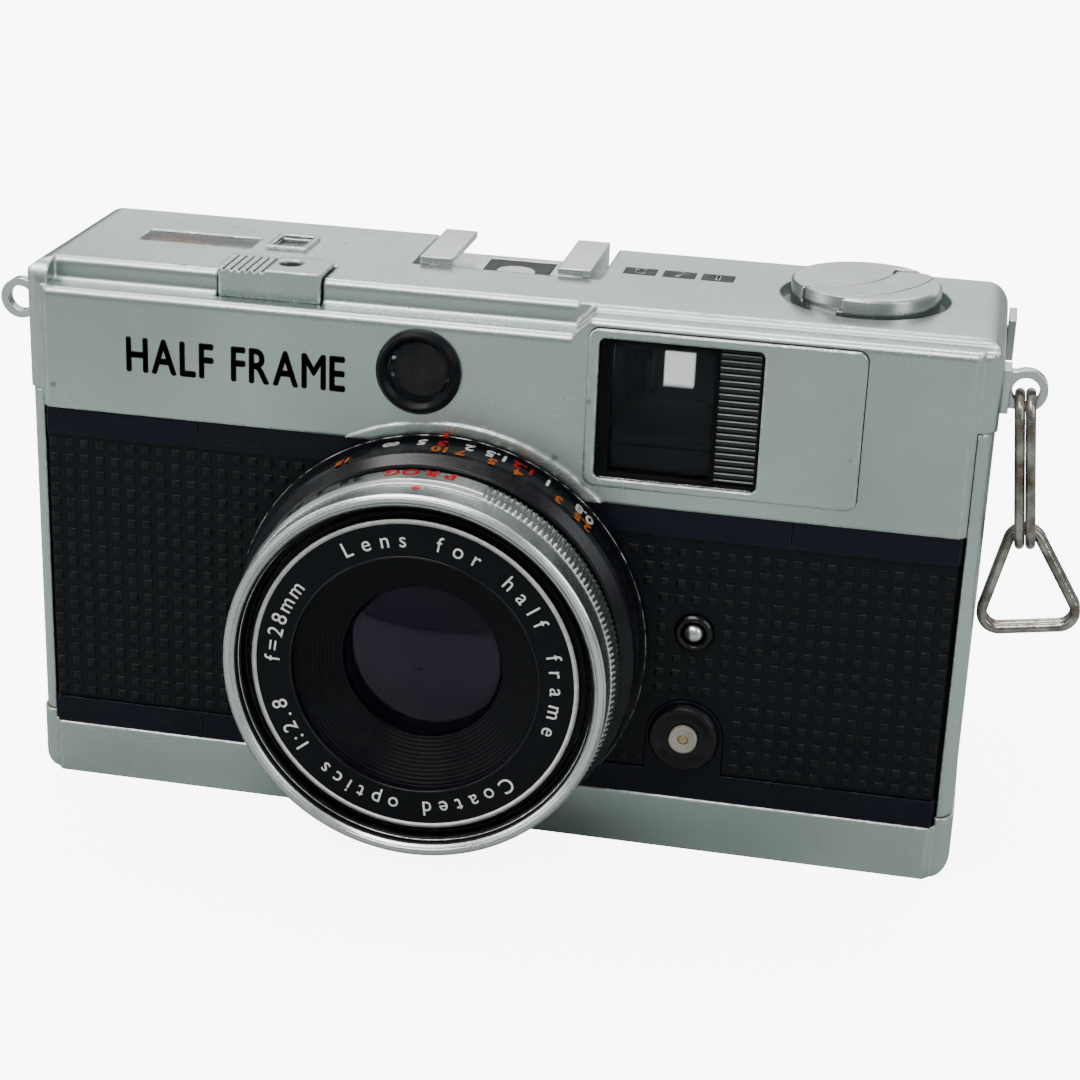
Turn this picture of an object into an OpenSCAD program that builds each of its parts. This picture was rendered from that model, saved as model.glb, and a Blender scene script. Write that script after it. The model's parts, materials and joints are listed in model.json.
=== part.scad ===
// Half frame film camera: bright covers over a die-cast body, fixed lens, hinged back.
// The origin is the mouth of the tripod socket. +X is the rewind side, -Y is out of the
// lens and +Z is up. Lens sizes are given as radii and as distances out from the front face.

/* [Body] */
// Width over the covers
body_w = 116; // [114:0.5:118]
// Depth from the front face to the back of the top cover
body_d = 28.8; // [28.4:0.1:29.4]
// Height from the base to the top plate
body_h = 67.2; // [67:0.1:68]
// Radius of the upright corners
corner_r = 2.1; // [1.2:0.1:2.2]
// Radius of the top and bottom edges at the two ends
end_r = 2.7; // [1.5:0.1:3]
// Wall thickness of the covers
wall = 0.9; // [0.7:0.1:1]
// How far the flat front panel stands out from the corner strips
panel_rise = 0.8; // [0.5:0.1:0.9]
// Half width of the flat front panel
panel_half = 55; // [54.5:0.1:55.4]

/* [Front levels] */
// Top of the bottom cover's front panel
base_top = 6.9; // [6.5:0.1:7.1]
// Height of a black trim strip
trim_h = 3.5; // [3:0.1:3.6]
// Lower edge of the top cover on the release side
apron_left_z = 49.3; // [48.9:0.1:49.6]
// Lower edge of the top cover on the rewind side
apron_right_z = 44.3; // [44:0.1:44.6]
// Distance of the trim seams from the middle
seam_x = 36; // [34:0.5:37]

/* [Top plate] */
// Depth of the ledge along the front of the top plate
ledge_d = 3.7; // [3:0.1:3.8]
// Height of the ledge on the release side
ledge_left_z = 64.3; // [64:0.1:64.6]
// Height of the ledge on the rewind side
ledge_right_z = 66.4; // [66.2:0.1:66.6]
// Where the ledge steps up
ledge_step_x = 10.2; // [9.8:0.1:10.6]

/* [Lens] */
// Lens axis, measured from the middle of the body
lens_x = -5.5; // [-6:0.1:-5]
// Height of the lens axis
lens_z = 25.4; // [25.2:0.1:25.8]
// Distance from the front face to the front of the lens rim
lens_out = 14.7; // [14.4:0.1:15.2]
// Outside radius of the front rim
rim_r = 22.9; // [22.7:0.1:23]
// Inside radius of the filter thread
filter_r = 21.5; // [21.4:0.05:21.6]
// Outside radius of the focusing ring
focus_r = 24.8; // [24.4:0.1:25]
// Outside radius of the aperture ring
stop_r = 23.4; // [23.1:0.1:23.6]
// Radius of the front glass
glass_r = 9.6; // [9:0.1:10]

/* [Film path] */
// Width of the half frame gate
gate_w = 18; // [17.5:0.5:18]
// Height of the gate
gate_h = 24; // [23.5:0.5:24]
// Radius of the film cassette chamber
chamber_r = 12.8; // [12.7:0.1:12.9]

/* [Controls] */
// Radius of the rewind knob
knob_r = 8.85; // [8.5:0.05:9]
// How far the rewind knob stands above the top plate
knob_rise = 1.9; // [1.5:0.1:2.2]
// Radius of the film advance wheel
wheel_r = 10.5; // [10:0.1:10.6]

/* [Strap fittings] */
// Wire diameter of the strap link and ring
wire_d = 1.2; // [1:0.1:1.2]
// Height of the strap lugs
lug_z = 60.7; // [60:0.1:61]

/* [Hidden] */
$fn = 64;
eps = 0.01;
gap = 0.1;

front_y = -body_d / 2;
back_y = body_d / 2;
strip_y = front_y + panel_rise;
half_w = body_w / 2;
ledge_y = front_y + ledge_d;

// Casting that everything is built on
cast_half = 56.6;
cast_front_y = -12.6;
cast_back_y = 13.2;
cast_bottom = 1.4;
cast_top = 50.6;
channel_y = 9.4;
channel_half_h = 17.7;
channel_half_w = 54;
rail_h = 0.9;
rail_d = 0.3;
tunnel_w = 20;
tunnel_h = 26;
throat_r = 19.5;
throat_back_y = -4.1;
gate_plate = 1.4;

// Film cassette, take-up spool and sprocket
cassette_x = 41.2;
spool_y = 2.9;
cassette_z0 = 3.6;
cassette_z1 = 47.4;
stub_r = 5.5;
spool_x = -42;
spool_chamber_r = 11.2;
spool_z0 = 5;
spool_z1 = 46;
sprocket_x = -24.5;
sprocket_y = 3.6;
sprocket_pocket_r = 7.4;
sprocket_r = 6.05;
perforation_z = 14.1;
sprocket_teeth = 8;

// Top cover levels
ledge_end = panel_half;
nose_r = 1;
cove_r = 0.8;
corner_soft_r = ledge_d - panel_rise;
left_seam_z = 51.3;
right_seam_z = 56.9;
back_seam_z = 50.9;
cover_inner_x = half_w - wall;
cover_inner_front = strip_y + wall;
cover_inner_back = back_y - wall;
panel_inner_x = panel_half - 0.6;
panel_inner_y = front_y + wall;
roof_z = body_h - wall;
lens_clear_r = 25.5;
boss_r = 21.4;
fairing_r = 26.8;
fairing_t = 0.3;

// Finder and meter on the front
finder_x0 = 11.2;
finder_x1 = 43;
finder_z0 = 46.5;
finder_z1 = 65.5;
finder_rise = 0.6;
finder_rim = 1.2;
opening_x1 = 31.5;
pane_x1 = 25.8;
finder_r = 1.2;
cell_x = -8.8;
cell_z = 58.2;
cell_r = 5.1;
cell_glass_r = 3.65;
eyepiece_x = 19.5;
eyepiece_z = 55;
eyepiece_pane_y = 13.9;
eyepiece_w = 9.5;
eyepiece_h = 7.5;

// Windows in the top plate
read_x0 = -48.3;
read_x1 = -33.9;
read_y0 = 0;
read_y1 = 5.3;
speed_x0 = -32;
speed_x1 = -26.9;
speed_y0 = 0.7;
speed_y1 = 7.1;
speed_rim = 0.55;

// Release button
button_x0 = -34.3;
button_x1 = -21.7;
button_y0 = -11.4;
button_y1 = -4.6;
button_z0 = 62.6;
button_z1 = 67.9;
button_gap = 0.3;
cable_x = -26.4;
cable_y = -7.4;
cable_r = 1.45;
cable_depth = 4;

// Accessory shoe
shoe_x = -1.9;
shoe_w = 21;
shoe_slot = 18.8;
shoe_mouth = 13;
shoe_y0 = 0.2;
shoe_floor = 65.2;
shoe_plate = 0.8;
shoe_clear = 2.1;
recess_x0 = -13.4;
recess_x1 = 9.8;
recess_y0 = -0.2;
recess_floor = shoe_floor - 0.4;
contact_y = 7;
contact_r = 2.4;

// Rewind knob
knob_x = cassette_x;
knob_y = spool_y;
well_r = 10.1;
well_floor = 65.4;
knob_z0 = 65.7;
knob_z1 = body_h + knob_rise;
crank_t = 1.4;
crank_centre = [-9.5, 7.5];
crank_in_r = 13;
crank_out_r = 17.4;
crank_hinge = [5, 5.2];
shaft_r = 2.2;

// Film advance wheel
wheel_x = -41;
wheel_y = 6.3;
wheel_z0 = 51.8;
wheel_z1 = 56.6;
wheel_teeth = 36;

// Back door and its hinge
door_x0 = -55.2;
door_x1 = 57.9;
door_z0 = 3.3;
door_z1 = 50.4;
door_inner_y = 14.3;
door_outer_y = 16.2;
door_wall = 1.1;
hinge_x = -57;
hinge_y = 14.6;
hinge_r = 1.3;
pin_r = 0.6;
knuckle_z = [[4, 18], [18.3, 35.7], [36, 50]];

// Latch of the back door
latch_x0 = 55;
latch_x1 = 56.2;
latch_y0 = 11.6;
latch_y1 = 12.8;
latch_foot_z = 43.6;
latch_travel = 2.5;
plate_y = 9.95;
plate_travel = 0.5;

// Strap fittings
lug_y = -7.4;
lug_x = 60.7;
lug_hole_r = 1.55;
lug_out_r = 2.5;
lug_t = 1.4;
turn_pitch = 1.25;
link_len = 18.2;
link_r = 2.6;
link_tilt = 6;
link_sag = 0.5;
ring_seat = -0.2;
ring_half_base = 3.4;
ring_side_h = 8.3;
ring_corner_r = 2;
ring_lean = 9;

// Front accessories
socket_x = 25;
socket_z = 15.2;
socket_r = 4.35;
catch_x = 25.4;
catch_z = 28.9;
catch_r = 2.3;
catch_ball_r = 1.22;

// Base fittings
tripod_r = 2.6;
tripod_len = 5;
tripod_out_r = 5;
battery_x = 16.5;
battery_y = -2;
battery_r = 7.8;
battery_h = 6;
battery_cap_r = 8.9;
screw_places = [[-53, -8], [53.5, -9.5], [24, 9.5]];
screw_r = 0.7;
counter_r = 8.6;
counter_window_y = spool_y - 6;
counter_window_r = 2.4;

// ---- shared shapes ----

// Plan with rounded corners, between two depths, centred in X
module rounded_plan(w, y0, y1, r) {
    translate([-w / 2 + r, y0]) square([w - 2 * r, y1 - y0]);
    translate([-w / 2, y0 + r]) square([w, y1 - y0 - 2 * r]);
    for (x = [-w / 2 + r, w / 2 - r], y = [y0 + r, y1 - r]) translate([x, y]) circle(r);
}

// Box between two corners
module span(a, b) {
    translate(a) cube(b - a);
}

// Prism between two heights with rounded upright corners
module rounded_span(a, b, r) {
    centre_x = (a[0] + b[0]) / 2;
    translate([centre_x, 0, a[2]])
        linear_extrude(b[2] - a[2]) rounded_plan(b[0] - a[0], a[1], b[1], r);
}

// Plate facing -Y with rounded corners: x and z limits, then the two depths
module front_plate(x0, x1, z0, z1, y0, y1, r) {
    centre_x = (x0 + x1) / 2;
    translate([centre_x, y1, 0]) rotate([90, 0, 0])
        linear_extrude(y1 - y0) rounded_plan(x1 - x0, z0, z1, r);
}

// Children drawn along +Z are turned to point out of the lens, t in front of the front face
module lens_axis(t = 0, x = lens_x, z = lens_z) {
    translate([x, front_y - t, z]) rotate([90, 0, 0]) children();
}

// Outline of the covers seen from above: rounded ends and a raised, bevelled front panel
module cover_plan() {
    rounded_plan(body_w, strip_y, back_y, corner_r);
    polygon([
        [-panel_half - panel_rise, strip_y + eps], [-panel_half - panel_rise, strip_y],
        [-panel_half, front_y], [panel_half, front_y],
        [panel_half + panel_rise, strip_y], [panel_half + panel_rise, strip_y + eps]
    ]);
}

// Solid with rounded ends in the XZ plane, used to round the cover ends
module end_rounding(z0, z1, round_top) {
    r = end_r;
    translate([0, body_d, 0]) rotate([90, 0, 0]) linear_extrude(2 * body_d) {
        translate([-half_w, round_top ? z0 : z0 + r]) square([body_w, z1 - z0 - r]);
        translate([-half_w + r, z0]) square([body_w - 2 * r, z1 - z0]);
        for (x = [-half_w + r, half_w - r])
            translate([x, round_top ? z1 - r : z0 + r]) circle(r);
    }
}

// One closed turn of wire: a long loop in the YZ plane, hanging from the origin
module wire_loop(len, r) {
    for (side = [-1, 1])
        translate([0, side * r, -len + r - eps]) cylinder(h = len - 2 * (r - eps), d = wire_d);
    translate([0, 0, -r]) rotate([90, 0, 90]) rotate_extrude(angle = 180)
        translate([r, 0]) circle(d = wire_d);
    translate([0, 0, -len + r]) rotate([-90, 0, 90]) rotate_extrude(angle = 180)
        translate([r, 0]) circle(d = wire_d);
}

// One closed turn of wire: a triangle in the XZ plane, point up, hanging from the origin
module wire_triangle(half_base, height, r) {
    slope = atan(half_base / height);
    side = sqrt(half_base * half_base + height * height);
    corners = [[0, 0, -r], [-half_base, 0, -r - height], [half_base, 0, -r - height]];
    turns = [[slope, 180 - slope], [180 - slope, 270], [270, 360 + slope]];
    arms = [side, 2 * half_base, side];
    for (i = [0:2]) translate(corners[i]) {
        rotate([90, 0, 0]) rotate([0, 0, turns[i][0]])
            rotate_extrude(angle = turns[i][1] - turns[i][0]) translate([r, 0]) circle(d = wire_d);
        rotate([0, -turns[i][1], 0]) translate([r, 0, 0]) {
            cylinder(h = arms[i], d = wire_d);
            for (z = [0, arms[i]]) translate([0, 0, z]) sphere(d = wire_d + 0.03);
        }
    }
}

// ---- covers and body ----

module body_casting() {
    color("dimgray") difference() {
        span([-cast_half, cast_front_y, cast_bottom], [cast_half, cast_back_y, cast_top]);
        // film channel, with the gate and its rails left standing
        difference() {
            span([-channel_half_w, channel_y, lens_z - channel_half_h],
                 [channel_half_w, cast_back_y + 1, lens_z + channel_half_h]);
            for (side = [-1, 1])
                translate([-30, channel_y - 1, lens_z + side * (gate_h / 2 + rail_h) - rail_h / 2])
                    cube([52, 1 + rail_d, rail_h]);
        }
        // cassette chamber, open to the back, with a pocket for the spool end
        translate([cassette_x, spool_y, cassette_z0])
            cylinder(h = cassette_z1 - cassette_z0, r = chamber_r);
        span([cassette_x - chamber_r, spool_y, cassette_z0],
             [cassette_x + chamber_r, cast_back_y + 1, cassette_z1]);
        translate([cassette_x, spool_y, cast_bottom - 1])
            cylinder(h = cassette_z0 - cast_bottom + 2, r = stub_r);
        translate([cassette_x, spool_y, cassette_z1 - 1])
            cylinder(h = cast_top - cassette_z1 + 2, r = shaft_r + 0.3);
        // take-up chamber and sprocket pocket
        translate([spool_x, spool_y, spool_z0])
            cylinder(h = spool_z1 - spool_z0, r = spool_chamber_r);
        span([spool_x - spool_chamber_r, spool_y, spool_z0],
             [spool_x + spool_chamber_r, cast_back_y + 1, spool_z1]);
        translate([sprocket_x, sprocket_y, spool_z0])
            cylinder(h = spool_z1 - spool_z0, r = sprocket_pocket_r);
        for (x = [spool_x, sprocket_x])
            translate([x, x == spool_x ? spool_y : sprocket_y, spool_z0 - 1.6])
                cylinder(h = cast_top - spool_z0 + 4, r = 1.6);
        // threads of the base screws
        for (p = screw_places)
            translate([p[0], p[1], cast_bottom - 1]) cylinder(h = 4.6, r = screw_r + 0.05);
        // counter dial recess
        translate([spool_x, spool_y, cast_bottom - 1]) cylinder(h = 2, r = counter_r + 0.3);
        // lens throat, light tunnel and film gate
        lens_axis(cast_front_y - front_y + 1) mirror([0, 0, 1])
            translate([0, 0, 2 * (cast_front_y - front_y)])
                cylinder(h = throat_back_y - cast_front_y + 1, r = throat_r);
        span([lens_x - tunnel_w / 2, throat_back_y - 1, lens_z - tunnel_h / 2],
             [lens_x + tunnel_w / 2, channel_y - gate_plate, lens_z + tunnel_h / 2]);
        span([lens_x - gate_w / 2, channel_y - gate_plate - 1, lens_z - gate_h / 2],
             [lens_x + gate_w / 2, channel_y + 1, lens_z + gate_h / 2]);
        // recess behind the finder windows
        span([finder_x0, cast_front_y - 1, finder_z0], [opening_x1 + 1, -11.6, cast_top + 1]);
        // sockets in the base
        translate([0, 0, cast_bottom - 1]) cylinder(h = tripod_len + 1.2, r = tripod_out_r + gap);
        translate([battery_x, battery_y, cast_bottom - 1])
            cylinder(h = battery_h + 2.4, r = battery_r + 0.4);
        // pockets behind the sync socket and the rewind catch
        lens_axis(-4, socket_x, socket_z) cylinder(h = 6, r = 2);
        lens_axis(-5, catch_x, catch_z) cylinder(h = 6, r = 1.4);
        // channel for the door latch
        span([latch_x0 - 0.25, 9.7, 41.3], [cast_half + 1, cast_back_y + 1, cast_top + 1]);
    }
}

module top_cover() {
    color("silver") difference() {
        union() {
            intersection() {
                translate([0, 0, apron_right_z]) linear_extrude(body_h - apron_right_z) cover_plan();
                end_rounding(apron_right_z - 1, body_h, true);
            }
            intersection() {
                lens_axis() cylinder(h = fairing_t, r = fairing_r, $fn = 96);
                union() {
                    span([lens_x - fairing_r, front_y - 1, apron_left_z],
                         [lens_x, front_y + 1, body_h]);
                    span([lens_x - eps, front_y - 1, apron_right_z],
                         [lens_x + fairing_r, front_y + 1, body_h]);
                }
            }
        }
        cover_lower_cuts();
        cover_cavity();
        cover_ledge();
        cover_openings();
    }
}

// Steps in the lower edge of the top cover
module cover_lower_cuts() {
    low = apron_right_z - 1;
    span([-half_w - 1, front_y - 1, low], [lens_x, back_y + 1, apron_left_z]);
    span([-half_w - 1, front_y - 1, low], [-panel_half - panel_rise, 10.7, left_seam_z]);
    span([panel_half + panel_rise, front_y - 1, low], [half_w + 1, 10.7, right_seam_z]);
    span([-half_w - 1, cover_inner_front, low], [half_w + 1, back_y + 1, back_seam_z]);
}

// Hollow inside the top cover
module cover_cavity() {
    low = apron_right_z - 1;
    split_x = ledge_step_x + (ledge_right_z - ledge_left_z) / 2 + wall;
    difference() {
        span([-cover_inner_x, cover_inner_front, low], [cover_inner_x, cover_inner_back, roof_z]);
        // roof over the ledge, the shoe recess and the knob well stays one wall thick
        span([-half_w, front_y, ledge_left_z - wall], [split_x, ledge_y + wall, body_h]);
        span([split_x - 1, front_y, ledge_right_z - wall], [half_w, ledge_y + wall, body_h]);
        span([recess_x0 - wall, recess_y0 - wall, recess_floor - wall],
             [recess_x1 + wall, back_y, body_h]);
        translate([knob_x, knob_y, well_floor - wall]) cylinder(h = 5, r = well_r + wall);
    }
    span([-panel_inner_x, panel_inner_y, low],
         [split_x, cover_inner_front + 1, ledge_left_z - wall]);
    span([split_x - 0.3, panel_inner_y, low],
         [panel_inner_x, cover_inner_front + 1, ledge_right_z - wall]);
}

// Outline of the space over the ledge, seen from the front, raised by some height
module ledge_profile(raise) {
    slope = (ledge_right_z - ledge_left_z) / 2;
    top = body_h + 1;
    right = half_w + 1;
    polygon([
        [-ledge_end, ledge_left_z + raise], [ledge_step_x - slope, ledge_left_z + raise],
        [ledge_step_x + slope, ledge_right_z + raise], [right, ledge_right_z + raise],
        [right, top], [-ledge_end, top]
    ]);
}

// Bar along X with a rounded upper front edge left behind when it is cut away
module edge_cut(x0, x1, y, z, r) {
    translate([x0, 0, z]) rotate([90, 0, 90]) linear_extrude(x1 - x0) difference() {
        translate([y - 1, -r]) square([r + 1, r + 1]);
        translate([y + r, -r]) circle(r);
    }
}

// Ledge along the front of the top plate, with a soft nose and a hollow at its back
module cover_ledge() {
    cove_y = ledge_y - cove_r;
    translate([0, cove_y, 0]) rotate([90, 0, 0]) linear_extrude(ledge_d + 1) ledge_profile(0);
    translate([0, ledge_y, 0]) rotate([90, 0, 0]) linear_extrude(ledge_d) ledge_profile(cove_r);
    slope = (ledge_right_z - ledge_left_z) / 2;
    for (part = [[-ledge_end, ledge_step_x - slope, ledge_left_z],
                 [ledge_step_x + slope, half_w + 1, ledge_right_z]]) {
        translate([part[0], cove_y, part[2] + cove_r]) rotate([0, 90, 0])
            cylinder(h = part[1] - part[0], r = cove_r);
        edge_cut(part[0], part[1], front_y, part[2], nose_r);
    }
    edge_cut(-ledge_end, ledge_step_x - slope, ledge_y, body_h, nose_r);
    // corner posts: a full round on the release side, a soft edge on the rewind side
    edge_cut(-half_w - 1, -ledge_end, strip_y, body_h, corner_soft_r);
    edge_cut(panel_half + panel_rise, half_w + 1, strip_y, ledge_right_z, nose_r);
}

// Windows, wells and slots in the top cover
module cover_openings() {
    top = body_h + 1;
    span([button_x0 - button_gap, button_y0 - button_gap, 60],
         [button_x1 + button_gap, button_y1 + button_gap, top]);
    span([read_x0, read_y0, 60], [read_x1, read_y1, top]);
    span([speed_x0 + speed_rim, speed_y0 + speed_rim, 60],
         [speed_x1 - speed_rim, speed_y1 - speed_rim, top]);
    span([recess_x0, recess_y0, recess_floor], [recess_x1, back_y + 1, top]);
    translate([knob_x, knob_y, well_floor]) cylinder(h = 5, r = well_r);
    translate([knob_x, knob_y, well_floor - 2]) cylinder(h = 5, r = shaft_r + 0.3);
    span([finder_x0 + finder_rim, front_y - 1, finder_z0 + finder_rim - 0.2],
         [opening_x1, cover_inner_front + 1, finder_z1 - finder_rim + 0.2]);
    lens_axis(-3, cell_x, cell_z) cylinder(h = 5, r = cell_r - 0.6);
    lens_axis(0.01) cylinder(h = 2, r = lens_clear_r, $fn = 96);
    lens_axis(-4) cylinder(h = 6, r = boss_r + gap, $fn = 96);
    span([eyepiece_x - eyepiece_w / 2, 10, eyepiece_z - eyepiece_h / 2],
         [eyepiece_x + eyepiece_w / 2, back_y + 1, eyepiece_z + eyepiece_h / 2]);
    span([wheel_x - 9, 10, wheel_z0 - 0.4], [wheel_x + 9, back_y + 1, wheel_z1 + 0.4]);
    span([cover_inner_x - 1, latch_y0 - 0.25, 60.2],
         [half_w + 1, latch_y1 + 0.25, 62.6 + latch_travel]);
}

module bottom_cover() {
    side_top = 8;
    back_top = 3;
    color("silver") difference() {
        intersection() {
            linear_extrude(side_top) cover_plan();
            end_rounding(0, side_top + 5, false);
        }
        span([-cover_inner_x, cover_inner_front, 1], [cover_inner_x, cover_inner_back, side_top + 1]);
        span([-panel_half - panel_rise, front_y - 1, base_top],
             [panel_half + panel_rise, cover_inner_front + 1, side_top + 1]);
        span([-half_w - 1, 10.8, back_top], [half_w + 1, back_y + 1, side_top + 1]);
        lens_axis(-4) cylinder(h = 6, r = boss_r + gap, $fn = 96);
        translate([0, 0, -1]) cylinder(h = 3, r = tripod_out_r + gap);
        translate([battery_x, battery_y, -1]) cylinder(h = 3, r = battery_cap_r + gap);
        translate([spool_x, counter_window_y, -1]) cylinder(h = 3, r = counter_window_r + gap);
        for (p = screw_places) translate([p[0], p[1], -1]) cylinder(h = 3, r = 1.25);
    }
}

// Bright strips that close the ends of the body between the covers
module side_caps() {
    color("lightgray") for (side = [-1, 1]) {
        top = (side < 0 ? left_seam_z : right_seam_z) - 0.15;
        difference() {
            translate([0, 0, 8.15]) linear_extrude(top - 8.15)
                rounded_plan(body_w - 0.5, strip_y + 0.15, 20, corner_r);
            span([-cast_half - 0.1, cast_front_y - 0.1, 0], [cast_half + 0.1, 30, 70]);
            span([-panel_half - panel_rise - 0.1, front_y - 1, 0],
                 [panel_half + panel_rise + 0.1, 30, 70]);
            span([-70, 10.6, 0], [70, 30, 70]);
            span([side < 0 ? 0 : -70, -30, 0], [side < 0 ? 70 : 0, 30, 70]);
        }
    }
}

// Grained covering on the front of the body
module front_covering() {
    low = base_top + trim_h + 0.1;
    edge_x = panel_half + 0.3;
    face_y = front_y + 0.5;
    color("black") difference() {
        union() {
            span([-edge_x, face_y, low], [lens_x, cast_front_y, apron_left_z - trim_h - 0.1]);
            span([lens_x - eps, face_y, low], [edge_x, cast_front_y, apron_right_z - trim_h - 0.1]);
        }
        lens_axis(-4) cylinder(h = 6, r = boss_r + gap, $fn = 96);
        lens_axis(-3, catch_x, catch_z) cylinder(h = 5, r = catch_r + gap);
        lens_axis(-3, socket_x, socket_z) cylinder(h = 5, r = socket_r + 0.4);
        span([socket_x - socket_r - 0.4, face_y - 1, low - 1],
             [socket_x + socket_r + 0.4, cast_front_y + 1, socket_z]);
    }
}

// One strip of black trim on the front: x limits and height of its lower edge
module trim_strip(x0, x1, z0) {
    face_y = front_y + 0.2;
    end_x = panel_half + 0.3;
    difference() {
        span([x0, face_y, z0], [x1, cast_front_y, z0 + trim_h]);
        for (side = [-1, 1]) translate([side * end_x, face_y, z0 - 1]) rotate([0, 0, side * 45])
            translate([side > 0 ? 0 : -2, -1.2, 0]) cube([2, 1.6, trim_h + 2]);
    }
}

// Black strips under the top cover, in three pieces
module upper_trims() {
    trim_end = panel_half + 0.7;
    color("midnightblue") {
        trim_strip(-trim_end, -seam_x - 0.05, apron_left_z - trim_h);
        difference() {
            union() {
                trim_strip(-seam_x + 0.05, lens_x, apron_left_z - trim_h);
                trim_strip(lens_x - eps, seam_x - 0.05, apron_right_z - trim_h);
            }
            lens_axis(-4) cylinder(h = 6, r = boss_r + gap, $fn = 96);
        }
        trim_strip(seam_x + 0.05, trim_end, apron_right_z - trim_h);
    }
}

// Black strips above the bottom cover, in three pieces, with a hump round the sync socket
module lower_trims() {
    trim_end = panel_half + 0.7;
    color("midnightblue") {
        trim_strip(-trim_end, -seam_x - 0.05, base_top);
        difference() {
            union() {
                trim_strip(-seam_x + 0.05, seam_x - 0.05, base_top);
                intersection() {
                    lens_axis(-1.75, socket_x, socket_z) cylinder(h = 1.55, r = socket_r + 0.3);
                    span([socket_x - 6, front_y, base_top], [socket_x + 6, 0, socket_z + 6]);
                }
                span([socket_x - socket_r - 0.3, front_y + 0.2, base_top],
                     [socket_x + socket_r + 0.3, cast_front_y, socket_z]);
            }
            lens_axis(-4) cylinder(h = 6, r = boss_r + gap, $fn = 96);
            lens_axis(-4, socket_x, socket_z) cylinder(h = 6, r = 2);
        }
        trim_strip(seam_x + 0.05, trim_end, base_top);
    }
}

// ---- finder, meter cell and top windows ----

module finder_frame() {
    inner_z0 = finder_z0 + finder_rim - 0.2;
    inner_z1 = finder_z1 - finder_rim + 0.2;
    color("silver") difference() {
        front_plate(finder_x0, finder_x1, finder_z0, finder_z1, front_y - finder_rise, front_y, finder_r);
        front_plate(finder_x0 + finder_rim, opening_x1, inner_z0, inner_z1,
                    front_y - 2, front_y + 1, 0.8);
    }
}

// Glass at both ends of the finder
module finder_window() {
    x0 = finder_x0 + finder_rim + 1.5;
    z0 = finder_z0 + finder_rim + 0.4;
    z1 = finder_z1 - finder_rim - 0.4;
    rear_w = eyepiece_w / 2 - 1;
    rear_h = eyepiece_h / 2 - 1;
    color([0.2, 0.25, 0.35, 0.6]) {
        span([x0, front_y + 1, z0], [pane_x1, front_y + 1.9, z1]);
        span([eyepiece_x - rear_w, eyepiece_pane_y + 0.02, eyepiece_z - rear_h],
             [eyepiece_x + rear_w, eyepiece_pane_y + 0.8, eyepiece_z + rear_h]);
    }
}

// Ribbed window that lights the finder's frame lines
module frameline_window() {
    x0 = pane_x1 + 0.5;
    x1 = opening_x1 - gap - 0.3;
    z0 = finder_z0 + finder_rim + 0.2;
    z1 = finder_z1 - finder_rim - 0.2;
    rib_pitch = 0.8;
    rib_count = floor((z1 - z0) / rib_pitch);
    color([0.1, 0.1, 0.12]) {
        span([x0, front_y + 0.9, z0], [x1, front_y + 1.9, z1]);
        for (i = [0:rib_count - 1])
            span([x0, front_y + 0.5, z0 + (i + 0.3) * rib_pitch],
                 [x1, front_y + 0.95, z0 + (i + 0.7) * rib_pitch]);
    }
}

// Black finder tube, with the surround that shows in the opening of the frame
module finder_housing() {
    x0 = finder_x0 + finder_rim + gap;
    x1 = opening_x1 - gap;
    z0 = finder_z0 + finder_rim - 0.1;
    z1 = finder_z1 - finder_rim + 0.1;
    tube_y = front_y + 2.4;
    color("black") difference() {
        union() {
            span([x0, front_y + 0.1, z0], [x1, tube_y, z1]);
            span([x0, tube_y - eps, 51.2], [x1, 10.6, 63.8]);
        }
        span([x0 + 1.4, front_y - 1, z0 + 0.5], [pane_x1, tube_y, z1 - 0.5]);
        span([pane_x1 + 0.5, front_y - 1, z0 + 0.3], [x1 - 0.3, tube_y, z1 - 0.3]);
        span([x0 + 1.2, tube_y - 1, 52.2], [x1 - 1.2, 5, 62.8]);
        span([eyepiece_x - 3.6, 4, eyepiece_z - 2.7], [eyepiece_x + 3.6, 12, eyepiece_z + 2.7]);
    }
}

// Eyepiece with its lens, in the back of the top cover
module eyepiece() {
    inset = 0.15;
    x0 = eyepiece_x - eyepiece_w / 2 + inset;
    x1 = eyepiece_x + eyepiece_w / 2 - inset;
    z0 = eyepiece_z - eyepiece_h / 2 + inset;
    z1 = eyepiece_z + eyepiece_h / 2 - inset;
    color("black") difference() {
        union() {
            span([x0, 10.7, z0], [x1, back_y + 0.4, z1]);
            front_plate(x0 - 0.9, x1 + 0.9, z0 - 0.9, z1 + 0.9, back_y + 0.02, back_y + 1.3, 1);
        }
        span([x0 + 1.2, 10, z0 + 1.2], [x1 - 1.2, 17, z1 - 1.2]);
        span([x0 + 0.8, eyepiece_pane_y, z0 + 0.8], [x1 - 0.8, 17, z1 - 0.8]);
    }
}

module cell_ring() {
    color("midnightblue") lens_axis(-1.4, cell_x, cell_z) rotate_extrude() polygon([
        [cell_glass_r + 0.05, 0], [cell_r - 0.7, 0], [cell_r - 0.7, 1.4], [cell_r, 1.4],
        [cell_r, 1.9], [cell_r - 0.5, 2.5], [cell_glass_r + 0.6, 2.5], [cell_glass_r + 0.05, 1.9]
    ]);
}

module cell_glass() {
    color([0.2, 0.22, 0.3, 0.6]) lens_axis(-0.6, cell_x, cell_z) cylinder(h = 0.8, r = cell_glass_r);
}

// Light dependent resistor behind the cell glass
module light_cell() {
    color("olive") lens_axis(-3.2, cell_x, cell_z) {
        cylinder(h = 2.2, r = cell_glass_r - 0.4);
        for (side = [-1, 1]) translate([side * 1.4, 0, -2.5]) cylinder(h = 2.6, r = 0.3);
    }
}

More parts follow.
